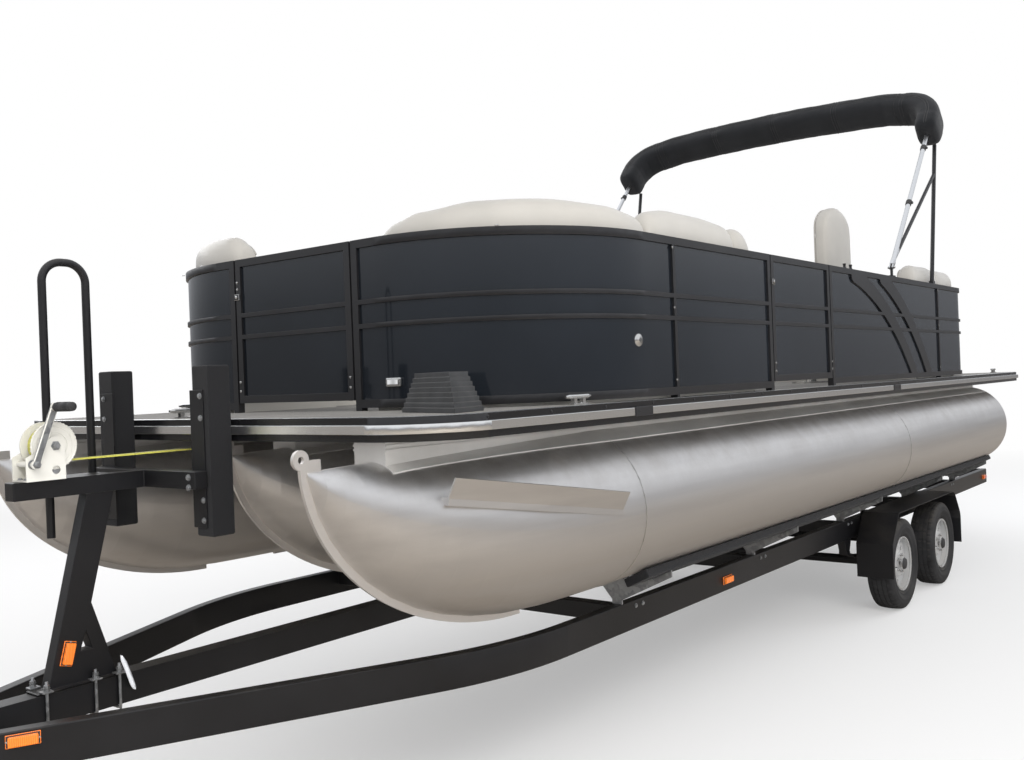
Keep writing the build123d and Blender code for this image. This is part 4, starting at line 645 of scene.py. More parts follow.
def buildStudio():
    # a plain dome that shows white to the camera and a soft horizon in bright metal
    scene.view_settings.view_transform = "Standard"
    scene.world = bpy.data.worlds.new("studio")
    scene.world.use_nodes = True
    tree = scene.world.node_tree
    path = put(tree, "LightPath").outputs
    height = splitAxes(tree, put(tree, "TexCoord").outputs["Generated"])["Z"]
    sky = ramp(tree, maths(tree, "ADD", times(tree, height, 0.5), 0.5), (
        (0.0, rgb(0.3, 0.28, 0.26)), (0.5, rgb(0.22, 0.22, 0.23)), (0.54, rgb(0.32, 0.33, 0.35)), (0.6, rgb(0.86, 0.88, 0.92)),
        (1.0, rgb(0.94, 0.96, 1.0))))
    dome = mixColour(tree, path["Is Glossy Ray"], rgb(0.72, 0.72, 0.73), sky)
    through = clamp(tree, maths(tree, "ADD", path["Is Camera Ray"], path["Is Transmission Ray"]))
    fill(tree, tree.nodes["Background"], {"Color": mixColour(tree, through, dome, rgb(1.0, 1.0, 1.0)), "Strength": 1.0})
    softLight("key", (7.0, 6.5, 7.0), (0.0, 0.0, 1.3), (7.0, 5.0), 620.0, (1.0, 0.98, 0.95))
    softLight("fill", (-8.0, 5.0, 5.0), (-1.5, 0.0, 1.3), (6.0, 5.0), 220.0, (0.93, 0.96, 1.0))
    softLight("rim", (0.0, -8.0, 6.0), (0.0, 0.0, 1.6), (9.0, 4.0), 220.0, mirrored=True)
    softLight("side", (4.5, 7.5, 1.8), (0.5, 1.0, 1.0), (6.0, 2.4), 160.0)


def buildFloor():
    # a pale floor that fades to white away from the boat
    far, pale = 60, rgb(0.88, 0.88, 0.88)
    bm = bmesh.new()
    bm.faces.new(addVerts(bm, ((-far, -far, 0), (far, -far, 0), (far, far, 0), (-far, far, 0))))
    mesh = bpy.data.meshes.new("floor")
    bm.to_mesh(mesh)
    bm.free()
    material, tree, shader = newMaterial("paleFloor", pale[:3], 0.9)
    path = put(tree, "LightPath").outputs
    place = objectPlace(tree)
    ground = mixColour(tree, noise(tree, place, 0.6, 6.0), rgb(0.34, 0.3, 0.26), rgb(0.46, 0.42, 0.37))
    fill(tree, shader, {"Base Color": mixColour(tree, path["Is Glossy Ray"], pale, ground)})
    reach = put(tree, "VectorMath", {0: place}, operation="LENGTH").outputs["Value"]
    seen = times(tree, span(tree, span(tree, reach, 0.0, 1.0, 6.0, 15.0), 0.35, 1.0), path["Is Camera Ray"])
    white = put(tree, "Emission", {"Color": rgb(1.0, 1.0, 1.0), "Strength": 1.0})
    blend = put(tree, "MixShader", {0: seen, 1: shader.outputs[0], 2: white.outputs[0]})
    fill(tree, tree.nodes["Material Output"], {"Surface": blend.outputs[0]})
    mesh.materials.append(material)
    link("floor", mesh)


placeCamera()
buildStudio()
buildFloor()
report("studio")


# Lounge cushions: crowned closed forms along the fence, with pinched seams and piping.
fenceHalf, fenceBow, fenceStern = 1.25, 2.76, -2.98
fenceCorners = {"bowCorner": ((2.01, 0.5), 0.75), "sternCorner": ((-2.62, 0.89), 0.36)}
fenceSides = {
    "bow": lambda y: (Vector((fenceBow, y, 0)), -alongX),
    "side": lambda x: (Vector((x, fenceHalf, 0)), -alongY),
    "stern": lambda y: (Vector((fenceStern, y, 0)), alongX),
}


def alongFence(runs):
    # places on the fence's plan with the direction inboard, every few centimetres; corners go by degrees
    out = []
    for kind, start, end, steps in runs:
        for t in (start + (end - start) * i / (steps - 1) for i in range(steps)):
            if kind in fenceSides:
                place = fenceSides[kind](t)
            else:
                centre, radius = fenceCorners[kind]
                outward = Vector((math.cos(math.radians(t)), math.sin(math.radians(t)), 0))
                place = (Vector((*centre, 0)) + outward * radius, -outward)
            if not out or (place[0] - out[-1][0]).length > 0.004:
                out.append(place)
    return out


def swell(piece, pinned, pressure, cap, frames):
    # cloth under pressure between the pinned seams, applied to the mesh and moved no further than the cap
    vertices = piece.data.vertices
    piece.vertex_groups.new(name="seams").add(pinned, 1.0, "REPLACE")
    soft = piece.modifiers.new("swell", "CLOTH")
    settings = soft.settings
    settings.quality = 4
    settings.mass = 0.4
    settings.tension_stiffness = settings.compression_stiffness = 18
    settings.bending_stiffness = 1.2
    settings.use_pressure = True
    settings.uniform_pressure_force = pressure
    settings.vertex_group_mass = "seams"
    settings.pin_stiffness = 1.0
    settings.effector_weights.gravity = 0.0
    soft.collision_settings.use_collision = False
    for step in range(1, frames + 1):
        scene.frame_set(step)
    after = [v.co.copy() for v in piece.evaluated_get(bpy.context.evaluated_depsgraph_get()).data.vertices]
    piece.modifiers.remove(soft)
    piece.vertex_groups.clear()
    for vertex, new in zip(vertices, after):
        move = new - vertex.co
        vertex.co += move * min(1.0, cap / max(move.length, 1e-9))
    scene.frame_set(1)


def pinch(s, places, width):
    return sum(math.exp(-((s - place) / width) ** 2) for place in places)


def nearestTo(lengths, place):
    return min(range(len(lengths)), key=lambda r: abs(lengths[r] - place))


def trimmed(piece, trim):
    # piping or ties drawn along the vertices of a swollen mesh, and the whole rounded
    bm = bmesh.new()
    bm.from_mesh(piece.data)
    trim(bm, [v.co.copy() for v in piece.data.vertices])
    bm.to_mesh(piece.data)
    bm.free()
    roundOff(piece)


# How cushions draw in at their ends and seams, as a share and a reach along the run, and their trim's thickness.
endDraw, endReach, seamDraw, seamReach = 0.16, 0.0225, 0.075, 0.014
pipingRadius, seamRadius = 0.0045, 0.0028


def cushion(name, side, runs, crest, style):
    # the style's section of (depth inboard, height) along the fence, ends drawn in, seams pinched
    path = alongFence(runs)
    lengths = runLengths([place for place, inward in path])
    total = lengths[-1]
    seams = [total * 0.5] if style["seamed"] and total > 0.9 else []
    section = style["section"]
    depths, levels = zip(*section)
    middle, centreHeight = sum(depths) / len(section), sum(levels) / len(section)
    low, high = min(levels), max(levels)
    bm = bmesh.new()
    rings = []
    for (place, inward), s in zip(path, lengths):
        drawn = 1.0 - endDraw * math.exp(-min(s, total - s) / endReach) - seamDraw * pinch(s, seams, seamReach)
        rise = (smoothAlong(crest, s / total) - low) / (high - low) if crest else 1.0
        centre = low + (centreHeight - low) * rise
        ring = []
        for depth, height in section:
            lifted = low + (height - low) * rise
            spot = place + inward * (middle + (depth - middle) * drawn)
            ring.append((spot.x, spot.y * side, centre + (lifted - centre) * (drawn if lifted > centre else 1.0)))
        rings.append(addVerts(bm, ring))
    skinAll(bm, rings)
    for ring, inner in ((rings[0], rings[1]), (rings[-1], rings[-2])):
        outward = (ring[0].co - inner[0].co).normalized()
        capEnd(bm, ring, sum((v.co for v in ring), Vector()) / len(ring), outward, ((0.86, 0.006), (0.5, 0.01)), 0.011)
    bm.verts.index_update()
    pinned = [v.index for ring, s in zip(rings, lengths) for v in ring if any(abs(s - seam) < 0.008 for seam in seams)]
    pinned += [v.index for ring in rings for v, z in zip(ring, levels) if z < low + 0.004]
    piece = finishPiece(bm, name, "greige_vinyl dark_seam", smooth=True)
    swell(piece, pinned, 2.5, style["cap"], 12)

    def piping(bm, shape):
        count = len(section)
        for corner in style["piping"]:
            hose(bm, shape[corner:len(path) * count:count], pipingRadius, 8, 1)
        for seam in seams:
            first = nearestTo(lengths, seam) * count
            hose(bm, shape[first:first + count], seamRadius, 8, 1, True)

    trimmed(piece, piping)
    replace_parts(piece, style["node"])


def smoothAlong(points, t):
    # height at a share of the length, on a smooth crest through (share, height) points
    for (a, za), (b, zb) in zip(points, points[1:]):
        if t <= b:
            u = max(0.0, (t - a) / (b - a))
            return za + (zb - za) * u * u * (3 - 2 * u)
    return points[-1][1]


backs = {"node": "lounge_backs", "seamed": False, "cap": 0.008, "piping": (10,), "section": (
    (0.068, 1.86), (0.0645, 1.93), (0.064, 2.02), (0.063, 2.12), (0.056, 2.205), (0.055, 2.255), (0.064, 2.298),
    (0.086, 2.33), (0.118, 2.345), (0.15, 2.338), (0.173, 2.312), (0.186, 2.262), (0.19, 2.19), (0.1895, 2.1),
    (0.187, 2.03), (0.189, 1.95), (0.187, 1.885), (0.182, 1.86), (0.15, 1.858), (0.11, 1.858))}
seats = {"node": "lounge_seats", "seamed": True, "cap": 0.01, "piping": (3, 11), "section": (
    (0.2, 1.86), (0.198, 1.9), (0.199, 1.94), (0.207, 1.962), (0.235, 1.97), (0.3, 1.974), (0.38, 1.976), (0.46, 1.976),
    (0.54, 1.974), (0.6, 1.97), (0.638, 1.96), (0.655, 1.938), (0.659, 1.91), (0.656, 1.88), (0.645, 1.861),
    (0.56, 1.858), (0.46, 1.858), (0.36, 1.858), (0.27, 1.858))}
roundTheBow = [("bow", 0.43, 0.5, 5), ("bowCorner", 0, 90, 40), ("side", 2.0, 1.852, 6)]
roundTheStern = [("side", -2.312, -2.61, 8), ("sternCorner", 90, 180, 22), ("stern", 0.88, 0.5, 12)]
middleCrest = ((0, 2.318), (0.3, 2.345), (0.6, 2.345), (1.0, 2.326))
# name, side, runs along the fence, crest of a back
for row in (
    ("port_back_long", 1, roundTheBow,
     ((0, 2.225), (0.07, 2.268), (0.16, 2.296), (0.36, 2.322), (0.56, 2.326), (0.8, 2.314), (1.0, 2.29))),
    ("port_back_middle", 1, [("side", 1.845, 1.048, 26)], middleCrest),
    ("port_back_end", 1, [("side", 1.038, 0.888, 10)], ((0, 2.322), (0.5, 2.322), (1.0, 2.3))),
    ("starboard_back_long", -1, roundTheBow, ((0, 2.3), (0.06, 2.334), (0.3, 2.345), (0.55, 2.345), (0.8, 2.33), (1.0, 2.3))),
    ("starboard_back_middle", -1, [("side", 1.845, 0.92, 28)], middleCrest),
    ("starboard_back_rear", -1, [("side", 0.908, -0.03, 28)], ((0, 2.326), (0.3, 2.345), (0.7, 2.34), (1.0, 2.3))),
):
    cushion("bow_" + row[0], *row[1:], backs)
cushion("stern_back_side", 1, [("side", -1.71, -2.3, 20)], ((0, 2.3), (0.2, 2.335), (0.7, 2.34), (1.0, 2.33)), backs)
cushion("stern_back_corner", 1, roundTheStern, ((0, 2.33), (0.3, 2.335), (0.6, 2.325), (1.0, 2.322)), backs)
cushion("stern_back_end", 1, [("stern", 0.488, -0.205, 22)], ((0, 2.322), (0.4, 2.335), (0.8, 2.33), (1.0, 2.3)), backs)
for name, side, runs in (
    ("bow_port_seat_long", 1, roundTheBow),
    ("bow_port_seat_middle", 1, [("side", 1.845, 0.905, 26)]),
    ("bow_starboard_seat_long", -1, roundTheBow),
    ("bow_starboard_seat_middle", -1, [("side", 1.845, 0.92, 26)]),
    ("bow_starboard_seat_rear", -1, [("side", 0.908, -0.025, 26)]),
    ("stern_seat_side", 1, [("side", -1.715, -2.3, 18)]),
    ("stern_seat_end", 1, [("stern", 1.035, -0.205, 30)]),
):
    cushion(name, side, runs, None, seats)
report("lounges")


# The two chairs, alike but turned.
padPower, tuftHalf, weltRadius = 6.0, 0.04, 0.0042


def pad(name, low, high, stand, body, crown, cut, rounding=0.0, welt="top", tufts=()):
    # a box cushion: corners rounded, faces crowned, top shoulders dropped by the rounding, a welt round it
    low, high = Vector(low), Vector(high)
    size, turn = high - low, stand @ Matrix.Translation((low + high) / 2)
    half = size / 2 - Vector((crown,) * 3)

    def dropped(y, z):
        return z - rounding * (z / (size.z / 2)) ** 3 * (abs(y) / (size.y / 2)) ** 2 if z > 0 else z

    bm = bmesh.new()
    bmesh.ops.create_cube(bm, size=1.0)
    bmesh.ops.subdivide_edges(bm, edges=bm.edges[:], cuts=cut, use_grid_fill=True)
    for v in bm.verts:
        p = v.co * 2
        share = [abs(c) for c in p]
        p *= max(share) / sum(c ** padPower for c in share) ** (1 / padPower)
        for i in range(3):
            crowned = max(0.0, 1 - p[i - 2] ** 2) * max(0.0, 1 - p[i - 1] ** 2) if abs(p[i]) > 0.8 else 0.0
            v.co[i] = p[i] * half[i] + crown * math.copysign(1, p[i]) * crowned
        for line, depth in tufts:
            off = abs(v.co.z / size.z - line) / tuftHalf
            if v.co.x > 0 and off < 1:
                v.co.x -= depth * (1 - off ** 2) * (2 * v.co.x / size.x) ** 2
        v.co.z = dropped(v.co.y, v.co.z)
        v.co = turn @ v.co
    for face in bm.faces:
        face.smooth = True
    if welt:
        line = []
        for c, s in (squircle(2 * math.pi * k / 64, padPower) for k in range(64)):
            flat = (c * half.x, s * half.y, half.z * 0.72)
            front = (half.x * 0.8, c * half.y, dropped(c * half.y, s * half.z))
            line.append(turn @ Vector(front if welt == "front" else flat))
        hose(bm, line, weltRadius, 8, 1, True)
    piece = finishPiece(bm, name, "greige_vinyl dark_seam", body)
    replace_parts(piece, body)


def captainChair(body, place, yaw):
    stand = Matrix.Translation(place) @ Matrix.Rotation(math.radians(yaw), 4, "Z")
    pad(body + "_cushion", (-0.15, -0.192, 1.946), (0.246, 0.192, 2.058), stand, body, 0.012, 12)
    tufts = ((0.22, 0.01), (-0.12, 0.01))
    pad(body + "_back", (-0.246, -0.236, 2.04), (-0.128, 0.236, 2.706), stand, body, 0.01, 14, 0.1, "front", tufts)
    pad(body + "_arm_left", (-0.15, 0.198, 2.112), (0.16, 0.248, 2.176), stand, body, 0.006, 8, welt="")
    pad(body + "_arm_right", (-0.15, -0.248, 2.112), (0.16, -0.198, 2.176), stand, body, 0.006, 8, welt="")
    bm = bmesh.new()
    slab(bm, (-0.21, -0.2, 1.928), (0.22, 0.2, 1.946), 0.006)
    for side in hands:
        for foot, knee, top in ((0.1, 0.12, 0.1), (-0.18, -0.17, -0.15)):
            hose(bm, bend([(foot, side * 0.19, 1.945), (knee, side * 0.222, 2.0), (top, side * 0.223, 2.108)], 8), 0.013, 12)
        bolt(bm, (-0.205, side * 0.12, 1.937), -alongX, 0.006)
    bmesh.ops.transform(bm, matrix=stand, verts=bm.verts)
    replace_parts(finishPiece(bm, body + "_pan", "black_grip", body), body)


captainChair("helm_chair", (-1.63, -0.8, 0), 0)
captainChair("mate_chair", (-1.26, 0.62, 0), -90)
report("chairs")


# The folded canopy in its boot: one fabric shell round the arch, with gathers, a zip and ties.
def bootLine():
    # the arch as (across, distance up the arm): legs, rounded corners, crowned top
    start, level, corner, crest = 1.345, 1.7, 0.235, 1.786
    port = [(armHalf, start + (level - corner - start) * k / 5) for k in range(6)]
    angles = [math.radians(6 + 78 * k / 9) for k in range(10)]
    port += [(armHalf - corner + corner * math.cos(a), level - corner * 0.96 + corner * math.sin(a)) for a in angles]
    port += [(y, crest - (crest - level) * (y / armHalf) ** 2) for y in (0.9 - 0.9 * k / 16 for k in range(17))]
    return bend([armPivot + alongY * y + armUp * u for y, u in port + [(-y, u) for y, u in port[-2::-1]]], 3)


bootDeep, bootWide, zipRadius, tieRadius = 0.079, 0.117, 0.003, 0.0022


def canopyBoot():
    line = bootLine()
    lengths = runLengths(line)
    total, count = lengths[-1], 32
    ties = [total * share for share in (0.045, 0.16, 0.33, 0.5, 0.67, 0.84, 0.955)]
    bm = bmesh.new()
    rings = []
    for i, (place, s) in enumerate(zip(line, lengths)):
        out = (line[min(i + 1, len(line) - 1)] - line[max(i - 1, 0)]).normalized().cross(armAft).normalized()
        full = 1.0 - 0.3 * math.exp(-min(s, total - s) / 0.018) - 0.022 * pinch(s, ties, 0.022)
        full *= 1.0 + 0.006 * math.sin(s * 21.0) + 0.004 * math.sin(s * 57.0 + 1.3)
        ring = []
        for a in (2 * math.pi * k / count for k in range(count)):
            c, w = squircle(a, 4.2)
            wrinkle = 1.0 + 0.008 * math.sin(5 * a + s * 9.0) + 0.005 * math.sin(9 * a - s * 23.0)
            ring.append(place + (out * c * bootDeep + armAft * w * bootWide) * full * wrinkle)
        rings.append(addVerts(bm, ring))
    skinAll(bm, rings)
    for ring, place, before in ((rings[0], line[0], line[1]), (rings[-1], line[-1], line[-2])):
        capEnd(bm, ring, place, (place - before).normalized(), ((0.9, 0.003), (0.6, 0.002), (0.3, 0.0)), -0.002)
    bm.verts.index_update()
    pinned = [v.index for s, ring in zip(lengths, rings) for v in ring if any(abs(s - tie) < 0.02 for tie in ties)]
    piece = finishPiece(bm, "canopy_boot", "dark_canvas black_grip", "bimini", smooth=True)
    swell(piece, pinned, 1.2, 0.004, 10)

    def zipAndTies(bm, shape):
        for k in (24, 23):
            hose(bm, shape[2 * count + k:(len(rings) - 2) * count:count], zipRadius, 8, 1)
        for tie in ties[1:-1]:
            for row in (nearestTo(lengths, tie) + shift for shift in (-1, 0, 1)):
                hose(bm, shape[row * count:(row + 1) * count], tieRadius, 6, 1, True)

    trimmed(piece, zipAndTies)
    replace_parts(piece, "bimini_boot")


canopyBoot()
report("boot")


# Wheels: tyres with grooves and blocks, nuts, caps and valves.
wheelTrack, axleHeight, shoulderCut, treadCut = 1.086, 0.302, 0.0055, 0.003


def tyre(name, body, centre):
    half = (
        (0.1785, 0.06), (0.186, 0.067), (0.197, 0.074), (0.2, 0.0765), (0.203, 0.0755), (0.218, 0.0825), (0.236, 0.0875),
        (0.24, 0.0885), (0.244, 0.0872), (0.258, 0.0855), (0.262, 0.0862), (0.266, 0.084), (0.281, 0.079), (0.2905, 0.0735),
        (0.296, 0.0665), (0.2985, 0.056), (0.299, 0.0485), (0.292, 0.047), (0.292, 0.0425), (0.3, 0.041),
        (0.3012, 0.02), (0.293, 0.0185), (0.293, 0.014), (0.3015, 0.0125))
    inside = ((0.184, 0.05), (0.225, 0.058), (0.225, -0.058), (0.184, -0.05))
    bm = bmesh.new()
    rings = []
    for radius, aside in [(r, -a) for r, a in half] + [(r, a) for r, a in reversed(half)] + list(inside):
        shoulder, tread = radius > 0.2895 and abs(aside) > 0.043, radius > 0.2995 and abs(aside) < 0.042
        hub = centre + alongY * aside
        cuts = [shoulderCut * (k % 4 == 0) if shoulder else treadCut * (tread and k % 5 == 0) for k in range(160)]
        rings.append(addVerts(bm, [hub + (place - hub) * (radius - cut) for place, cut in zip(ringAt(hub, 1.0, 160), cuts)]))
    skinAll(bm, rings + rings[:1])
    piece = finishPiece(bm, name + "_detail", "tyre_rubber", body)
    for face in piece.data.polygons:
        face.use_smooth = sum((piece.data.vertices[v].co - centre).length for v in face.vertices) / 4 < 0.3
    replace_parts(piece, name)


def wheelFittings(name, centre, side):
    bm = bmesh.new()
    out = alongY * side
    for k in range(5):
        a = 2 * math.pi * (k + 0.5) / 5
        at = centre + Vector((math.cos(a) * 0.057, side * 0.046, math.sin(a) * 0.057))
        turned(bm, at, out, disc(0.0115, 0.0015), 20)
        turned(bm, at, out, ((0.01, 0.0015), (0.01, 0.012), (0.0088, 0.0165), (0.007, 0.018), (0, 0.0184)), 6, 0, False)
    cap = ((0.0385, 0.0705), (0.0385, 0.0745), (0.0365, 0.079), (0.0345, 0.08), (0.033, 0.0845), (0.026, 0.0868), (0, 0.0872))
    turned(bm, centre, out, cap, 36, 1)
    turned(bm, centre, out, ((0.0405, 0.0702), (0.041, 0.0722), (0.0405, 0.0735), (0.0384, 0.0735)), 36)
    valve = ((0.0045, 0), (0.004, 0.012), (0.003, 0.02), (0.0036, 0.021), (0.0036, 0.028), (0, 0.029))
    turned(bm, centre + Vector((0.15, side * 0.05, 0.0)), (0.35, side, 0), valve, 12, 1)
    for reach in (0.1725, 0.166):
        hose(bm, ringAt(centre + out * (0.0615 + (reach - 0.166) * 1.2), reach, 72), 0.0016, 8, 0, True)
    finishPiece(bm, name + "_fittings", "bright_steel black_grip", name)


for row, x in (("front", -1.384), ("rear", -2.292)):
    for hand, side in (("port", 1), ("starboard", -1)):
        centre, wheel = Vector((x, side * wheelTrack, axleHeight)), "wheel_%s_%s" % (row, hand)
        tyre("tyre_%s_%s" % (row, hand), wheel, centre)
        wheelFittings(wheel, centre, side)
report("wheels")


# Trailer: U-bolts, bolts, lamps, blank number plate, winch gear and blank tag.
railSide, railTop, lampLong, lampWide = 0.925, 0.67, 0.098, 0.04
wideNut = ((0, 0), (0.0115, 0), (0.0115, 0.0012), (0.0098, 0.0014), (0.0098, 0.0085), (0.008, 0.0098), (0, 0.0098))


def trailerBolts():
    bm = bmesh.new()
    for x in (3.864, 3.695, 3.608):
        port = [(x, 0.0465, 0.7), (x, 0.0465, 0.56), (x, 0.04, 0.5475)]
        hose(bm, bend(port + [(x, 0.0, 0.546)] + [(x, -y, z) for x, y, z in reversed(port)], 4), 0.0052)
        for side in hands:
            slab(bm, (x - 0.018, side * 0.0275, 0.6645), (x + 0.018, side * 0.059, railTop), 0.001)
            for lift in (0.0, 0.0105):
                turned(bm, (x, side * 0.0465, railTop + lift), alongZ, wideNut, 6, 0, False)
    # place, direction and size of each bolt
    rows = [((3.4255, side * 0.309, z), alongX, 0.0072) for side in hands for z in (1.611, 1.535, 1.252, 1.182)]
    rows += [((3.4755, side * 0.3, z), alongX, 0.008) for side in hands for z in (1.3, 1.335)]
    rows += [((x, -0.1285, z), -alongY, 0.006) for x in (3.592, 3.75) for z in (1.312, 1.338)]
    rows += [((x + shift, side * railSide, 0.6), alongY * side, 0.007)
             for side in hands for x in (1.61, 0.3, -1.05, -2.4, -3.5) for shift in (-0.03, 0.03)]
    rows += [((x, y, 0.656), alongZ, 0.0065) for x in (4.47, 4.62) for y in (0.02, -0.02)]
    for place, out, size in rows:
        bolt(bm, place, out, size)
    finishPiece(bm, "trailer_bolts", "galvanised")


def lampBody(bm, centre, along, out, length, width, lensMat):
    centre, along, out = Vector(centre), Vector(along).normalized(), Vector(out).normalized()
    turn = basis(along, out.cross(along).normalized(), out)
    block(bm, centre + out * 0.003, (length, width, 0.006), 0.002, 1, turn, 3)
    block(bm, centre + out * 0.0125, (length * 0.86, width * 0.78, 0.014), 0.004, lensMat, turn, 3)
    for end in hands:
        bolt(bm, centre + out * 0.006 + along * end * length * 0.465, out, 0.0022, 2)


def lamps():
    bm = bmesh.new()
    slope = Vector((0.9079, -0.419, 0)).normalized()
    for side in hands:
        lampBody(bm, (3.779, side * 0.0255, 0.77), (-0.253, 0, 0.967), alongY * side, 0.082, 0.042, 0)
        lampBody(bm, (4.03, side * 0.2235, 0.598), (slope.x, side * slope.y, 0), (-slope.y, side * slope.x, 0), lampLong, lampWide, 0)
        for x, z, lensMat in ((0.742, 0.556, 0), (-4.55, 0.56, 3)):
            lampBody(bm, (x, side * (railSide + 0.0008), z), alongX, alongY * side, lampLong, lampWide, lensMat)
    finishPiece(bm, "side_lamps", "amber_lens black_grip bright_steel red_lens")
    bm = bmesh.new()
    for low, high in ((0.62, 0.86), (-0.86, -0.62)):
        slab(bm, (-4.69, low, 0.556), (-4.6705, high, 0.622), 0.005, 1)
        slab(bm, (-4.699, low + 0.012, 0.564), (-4.688, high - 0.08, 0.614), 0.004, 0)
        slab(bm, (-4.699, high - 0.072, 0.564), (-4.688, high - 0.014, 0.614), 0.004, 2)
        for y in (low + 0.02, high - 0.02):
            bolt(bm, (-4.69, y, 0.589), -alongX, 0.003, 3)
    for y in (-0.05, 0.0, 0.05):
        lampBody(bm, (-4.6705, y, 0.588), alongY, -alongX, 0.044, 0.022, 0)
    slab(bm, (-4.676, -0.5, 0.42), (-4.672, -0.2, 0.545), 0.001, 4)
    slab(bm, (-4.681, -0.485, 0.44), (-4.676, -0.215, 0.53), 0.0015, 5)
    for y in (-0.44, -0.26):
        bolt(bm, (-4.681, y, 0.52), -alongX, 0.003, 3)
        slab(bm, (-4.676, y - 0.012, 0.53), (-4.668, y + 0.012, 0.556), 0.001, 1)
    finishPiece(bm, "rear_lamps", "red_lens black_grip clear_lens bright_steel trailer_black tag_paper")


def winchDetail():
    drum, pinion, grip = Vector((3.804, 0, 1.466)), Vector((3.882, 0, 1.41)), Vector((3.814, 0.0745, 1.594))
    bm = bmesh.new()
    for edge in (-0.0195, 0.0195):
        for layer in range(5):
            hose(bm, ringAt(drum + alongY * edge, 0.0505 + layer * 0.0022, 60), 0.0012, 6, 0, True)
    wound = ((0.05, -0.0195), (0.06, -0.0195), (0.0606, -0.0185), (0.0606, 0.0185), (0.06, 0.0195), (0.05, 0.0195))
    turned(bm, drum, alongY, wound, 60)
    finishPiece(bm, "winch_wound_strap", "strap_webbing")
    bm = bmesh.new()
    for a in (2 * math.pi * k / 40 for k in range(40)):
        tooth = drum + Vector((math.cos(a) * 0.0775, 0.0365, math.sin(a) * 0.0775))
        block(bm, tooth, (0.0044, 0.0048, 0.004), 0.0006, 0, Matrix.Rotation(-a, 4, "Y"), 1)
    nut = ((0, 0), (0.0165, 0), (0.0165, 0.002), (0.012, 0.0025), (0.012, 0.011), (0.01, 0.013), (0, 0.013))
    for side in hands:
        for reach, aside, radius, count in ((0.0755, 0.0385, 0.0022, 8), (0.062, 0.039, 0.0012, 6), (0.044, 0.039, 0.0012, 6)):
            hose(bm, ringAt(drum + alongY * side * aside, reach, 60), radius, count, 0, True)
        out, face = alongY * side, alongY * side * 0.048
        turned(bm, drum + face, out, nut, 6, 1, False)
        turned(bm, pinion + face, out, ((0.0101, 0), (0.016, 0), (0.016, 0.0022), (0.0101, 0.0022)), 24, 1)
        for x in (3.785, 3.892):
            bolt(bm, (x, side * 0.02, 1.359), alongZ, 0.0065, 1)
    lock = ((0.0105, 0), (0.0135, 0), (0.0135, 0.003), (0.0112, 0.0035), (0.0112, 0.0105), (0.009, 0.0125), (0, 0.0125))
    turned(bm, pinion + alongY * 0.074, alongY, lock, 6, 1, False)
    crank = grip - pinion - alongY * 0.0745
    lever = crank.normalized()
    turn = basis(lever, alongY, lever.cross(alongY))
    block(bm, pinion + alongY * 0.069 + crank * 0.5, (crank.length + 0.024, 0.0112, 0.0252), 0.0035, 1, turn, 3)
    handle = (
        (0.0142, 0), (0.015, 0.004), (0.0146, 0.03), (0.0158, 0.05), (0.0146, 0.072), (0.0152, 0.096),
        (0.0148, 0.1035), (0.012, 0.106), (0, 0.1062))
    turned(bm, grip + alongY * 0.006, alongY, handle, 28, 2)
    for k in range(9):
        hose(bm, ringAt(grip + alongY * (0.018 + k * 0.009), 0.0152, 28), 0.0009, 6, 2, True)
    finishPiece(bm, "winch_gear", "cream_winch galvanised black_grip")
    low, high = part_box("winch_strap")
    start, end = Vector((low[0], 0, high[2])), Vector((high[0], 0, low[2] + 0.004))
    slope = (end - start).normalized()
    normal = Vector((-slope.z, 0, slope.x))
    if normal.z < 0:
        normal = -normal
    bm = bmesh.new()
    for edge in (-0.0172, 0.0172):
        for at in (start + slope * (0.02 + k * 0.0115) + alongY * edge for k in range(56)):
            if at.x < end.x - 0.02:
                stitch = ((0, 0.0002), (0.0035, 0.0009), (0.007, 0.0002))
                hose(bm, [at + slope * along + normal * rise for along, rise in stitch], 0.0006, 6)
    finishPiece(bm, "strap_stitching", "dark_seam")


def blankTag():
    bm = bmesh.new()
    rows = []
    for t in (i / 12 for i in range(13)):
        centre = Vector((3.604 - 0.044 * t, 0.056 + 0.003 * math.sin(t * 3.0), 0.726 - 0.128 * t))
        width = 0.015 * min(1.0, 0.35 + t * 4.0, 0.55 + (1 - t) * 4.0)
        across = Vector((0.9, 0.12 * math.sin(2.2 * t), 0.36)).normalized() * width * 1.7
        row = [centre + across * (k / 4 - 0.5) + alongY * 0.005 * math.sin(math.pi * k / 4) for k in range(5)]
        rows.append(addVerts(bm, row))
    skinAll(bm, rows, closed=False)
    wire = ((3.608, 0.053, 0.69), (3.606, 0.0575, 0.705), (3.603, 0.058, 0.716), (3.603, 0.057, 0.725))
    hose(bm, bend(wire, 5), 0.0009, 6, 1)
    tag = finishPiece(bm, "blank_tag", "tag_paper bright_steel")
    tag.modifiers.new("thick", "SOLIDIFY").thickness = 0.0008


trailerBolts()
lamps()
winchDetail()
blankTag()
report("trailer hardware")


# Boat: weld beads, fasteners, latches, doors, joints in the rub rail, cleat screws and canopy fittings.
def weldBead(bm, line, radius):
    def wave(i):
        return Vector((0.001 * math.sin(i * 2.1), 0.0006 * math.sin(i * 1.3), 0.0006 * math.cos(i * 1.7)))

    hose(bm, [Vector(p) + wave(i) for i, p in enumerate(line)], radius, 8)


def floatArc(x, y, radius, first, sweep, steps):
    angles = (math.radians(first + sweep * k / steps) for k in range(steps + 1))
    return [(x, y + radius * math.cos(a), floatHeight + radius * math.sin(a)) for a in angles]


